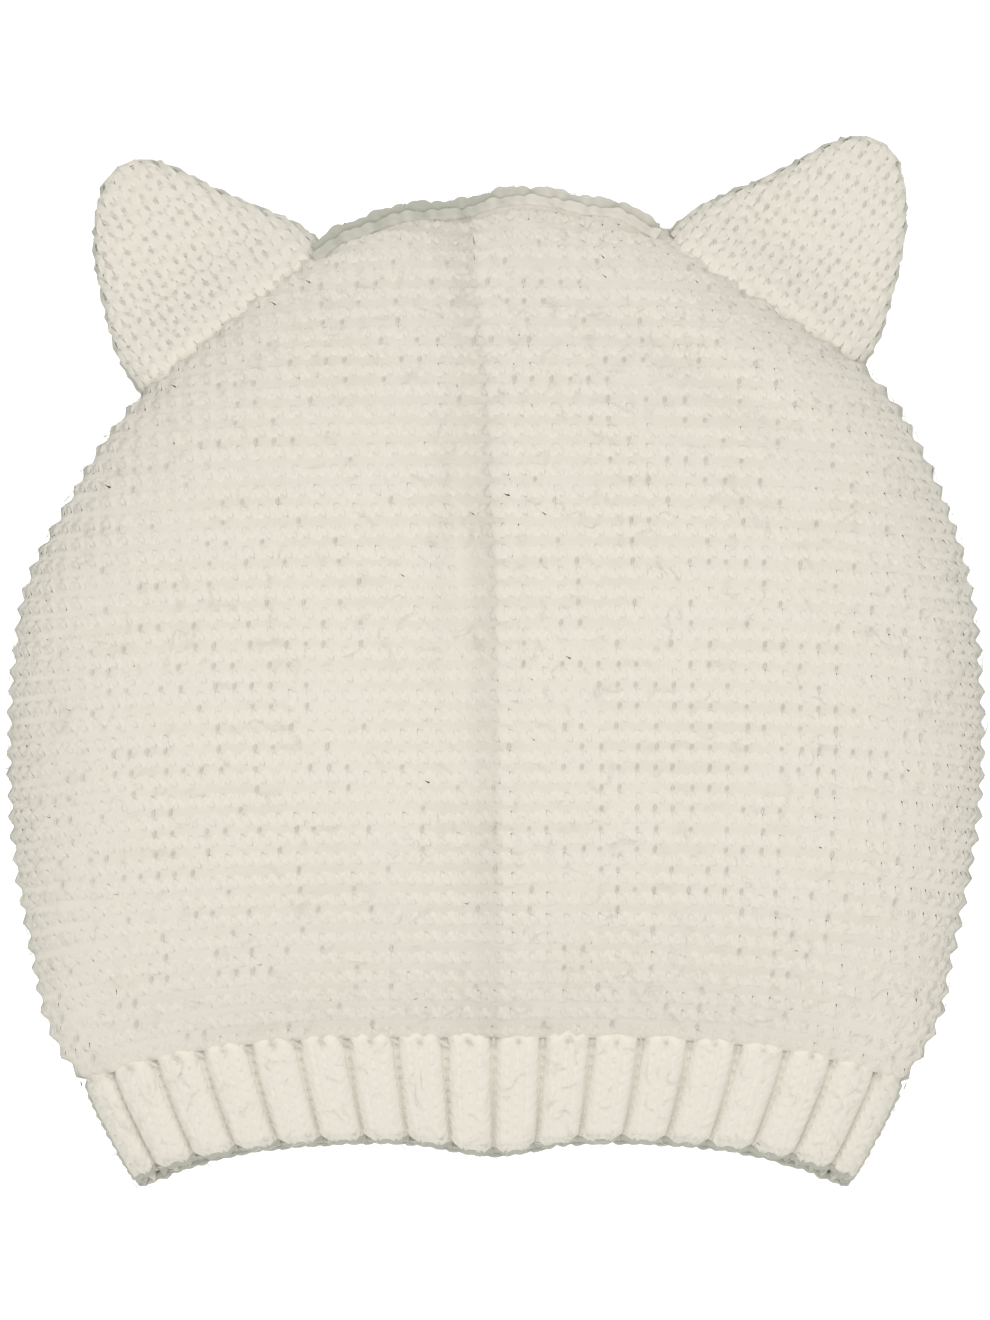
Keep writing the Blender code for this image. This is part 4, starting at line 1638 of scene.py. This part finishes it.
class Fuzz:
    """Loose fibres that stand off the wool: short arcs, each a fine three-sided strand with narrow ends."""

    length_range = (1.8 * MM, 6.0 * MM)
    lift_range = (0.2 * MM, 1.4 * MM)
    radius = 0.055 * MM
    taper = (0.6, 1.0, 1.0, 0.8, 0.15)
    root_depth = 0.5 * MM
    bend = 0.22
    chance_flat = 0.26
    chance_fold = 0.7

    def __init__(self, finish: YarnFinish, seed: int) -> None:
        """Sets up the fuzz.

        Args:
            finish: the fibres' finish.
            seed: seed of their places and bends.
        """
        self.random = np.random.default_rng(seed)
        self.material = finish.material()

    def grow(self, name: str, cloth: Cloth, count: int, low: float, high: float) -> bpy.types.Object:
        """Grows fibres out of a cloth, at random places between two heights up it, most at its folds.

        A fibre's point at t from 0 to 1 is its root, plus length t along its way, plus lift times
        2t(1 - t) + t / 2 outwards, plus bend sin(180 degrees t) to its side.

        Args:
            name: the piece's name.
            cloth: what they grow out of.
            count: how many there are.
            low: the least v.
            high: the greatest v.

        Returns:
            The piece.
        """
        draw = self.random
        v = draw.uniform(low, high, 4 * count)
        s = draw.uniform(0.0, 1.0, 4 * count) * cloth.length_at(v)
        root, normal = cloth.at(v, s, np.full(4 * count, -self.root_depth))
        chance = self.chance_flat + self.chance_fold * (1 - np.abs(normal[:, 2]))
        kept = np.flatnonzero(draw.random(4 * count) < chance)[:count]
        root, normal = root[kept], normal[kept]
        count = len(kept)
        way = draw.normal(size=(count, 3))
        way = unit(way - np.sum(way * normal, axis=1, keepdims=True) * normal)
        beside = np.cross(normal, way)
        length = draw.uniform(*self.length_range, count)[:, None, None]
        lift = draw.uniform(*self.lift_range, count)[:, None, None]
        bend = draw.normal(0.0, self.bend, count)[:, None, None] * length
        t = np.linspace(0.0, 1.0, len(self.taper))[None, :, None]
        rise = lift * (2 * t * (1 - t) + t / 2)
        path = root[:, None] + way[:, None] * t * length + normal[:, None] * rise
        path = path + beside[:, None] * bend * np.sin(math.pi * t)
        parts = MeshParts()
        parts.add_fibres(path, normal, beside, self.radius * np.array(self.taper), np.zeros(path.shape[:2]))
        return parts.build(name, self.material)


@dataclass
class Studio:
    """Plain pale floor, soft light from above, and the camera straight over the hat."""

    pixel: float = 0.21 * MM
    frame_height: int = 1320
    height: float = 1.2
    plane: float = 0.013
    middle: tuple[float, float] = (-0.0002, -0.0001)
    floor_half: float = 3.0
    floor_colour: Colour = (0.90, 0.90, 0.90)
    floor_glow: float = 0.45
    sensor: float = 36.0
    lamp_place: tuple[float, float, float] = (0.0, -0.02, 1.7)
    lamp_size: float = 2.2
    lamp_watts: float = 34.0
    room_colour: Colour = (0.96, 0.99, 0.95)
    room_light: float = 0.46

    def add_camera(self) -> None:
        """Adds the camera, whose long side spans the frame's height at the hat's side folds."""
        data = bpy.data.cameras.new("camera")
        data.sensor_fit = "AUTO"
        data.sensor_width = self.sensor
        data.lens = self.sensor * self.height / (self.frame_height * self.pixel)
        camera = linked(bpy.data.objects.new("camera", data))
        camera.location = (*self.middle, self.height + self.plane)
        bpy.context.scene.camera = camera

    def add_floor(self) -> None:
        """Adds the floor, lit through like a light table."""
        half = self.floor_half
        mesh = bpy.data.meshes.new("floor")
        corners = [(-half, -half, 0), (half, -half, 0), (half, half, 0), (-half, half, 0)]
        mesh.from_pydata(corners, [], [(0, 1, 2, 3)])
        material = bpy.data.materials.new("pale_floor")
        material.use_nodes = True
        shader = material.node_tree.nodes["Principled BSDF"]
        shader.inputs["Base Color"].default_value = (*self.floor_colour, 1.0)
        shader.inputs["Roughness"].default_value = 0.9
        shader.inputs["Emission Color"].default_value = (1.0, 1.0, 1.0, 1.0)
        shader.inputs["Emission Strength"].default_value = self.floor_glow
        mesh.materials.append(material)
        linked(bpy.data.objects.new("floor", mesh))

    def add_light(self, name: str, place: tuple[float, float, float], size: float, power: float) -> None:
        """Adds one square soft light that faces the hat.

        Args:
            name: its name.
            place: where it hangs.
            size: the length of its side.
            power: its power in watts.
        """
        data = bpy.data.lights.new(name, "AREA")
        data.shape = "SQUARE"
        data.size = size
        data.energy = power
        light = linked(bpy.data.objects.new(name, data))
        light.location = place
        aim = np.array(place)
        tilt = math.atan2(math.hypot(aim[0], aim[1]), aim[2])
        light.rotation_euler = (tilt, 0.0, math.atan2(aim[0], -aim[1]))

    def set_up(self) -> None:
        """Adds camera, floor, lamp and the weak light of the room."""
        self.add_camera()
        self.add_floor()
        self.add_light("over_light", self.lamp_place, self.lamp_size, self.lamp_watts)
        world = bpy.data.worlds.new("room")
        world.use_nodes = True
        background = world.node_tree.nodes["Background"]
        background.inputs["Color"].default_value = (*self.room_colour, 1.0)
        background.inputs["Strength"].default_value = self.room_light
        bpy.context.scene.world = world
        bpy.context.scene.view_settings.view_transform = "Standard"
        bpy.context.scene.view_settings.look = "None"


def place_piece(piece: bpy.types.Object, node: str) -> None:
    """Makes a piece ride on the hat's body and stand for a solid, and reports it.

    Args:
        piece: the piece.
        node: the solid that it replaces.
    """
    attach(piece, ROOT)
    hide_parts(node)
    corners = sum(polygon.loop_total - 2 for polygon in piece.data.polygons)
    count = len(piece.data.vertices)
    LOG.info("%s: %d vertices, %d triangles, stands for %s", piece.name, count, corners, node)


def main() -> None:
    """Builds the hat and its studio."""
    logging.basicConfig(level=logging.INFO, format="%(name)s %(message)s", stream=sys.stdout)
    for obj in [o for o in bpy.data.objects if o.name in ("Cube", "Light", "Camera")]:
        bpy.data.objects.remove(obj, do_unlink=True)
    sizes = HatSizes.from_frame()
    Studio().set_up()
    crown = Crown(sizes, YarnFinish("cream_wool"))
    for piece in crown.knit():
        place_piece(piece, "crown")
    band = RibBand(sizes, YarnFinish("cream_wool_rib"))
    place_piece(band.knit(), "rib_band")
    ears = []
    for seed, seat in enumerate(EAR_SEATS, start=20):
        ears.append(Ear(seat, sizes, YarnFinish("cream_wool_" + seat.node), seed))
    for ear in ears:
        place_piece(ear.knit(), ear.seat.node)
    fuzz = Fuzz(YarnFinish("cream_fuzz"), seed=31)
    place_piece(fuzz.grow("crown_fuzz", crown.cloth, 2150, 0.0, crown.up[-1]), "crown")
    place_piece(fuzz.grow("rib_band_fuzz", band.cloth, 420, -band.length, 0.0), "rib_band")
    for ear in ears:
        piece = fuzz.grow(ear.seat.node + "_fuzz", ear.cloth, 150, 0.0, ear.cloth.up[-1])
        place_piece(piece, ear.seat.node)
    bpy.context.view_layer.update()


if __name__ == "__main__":
    main()
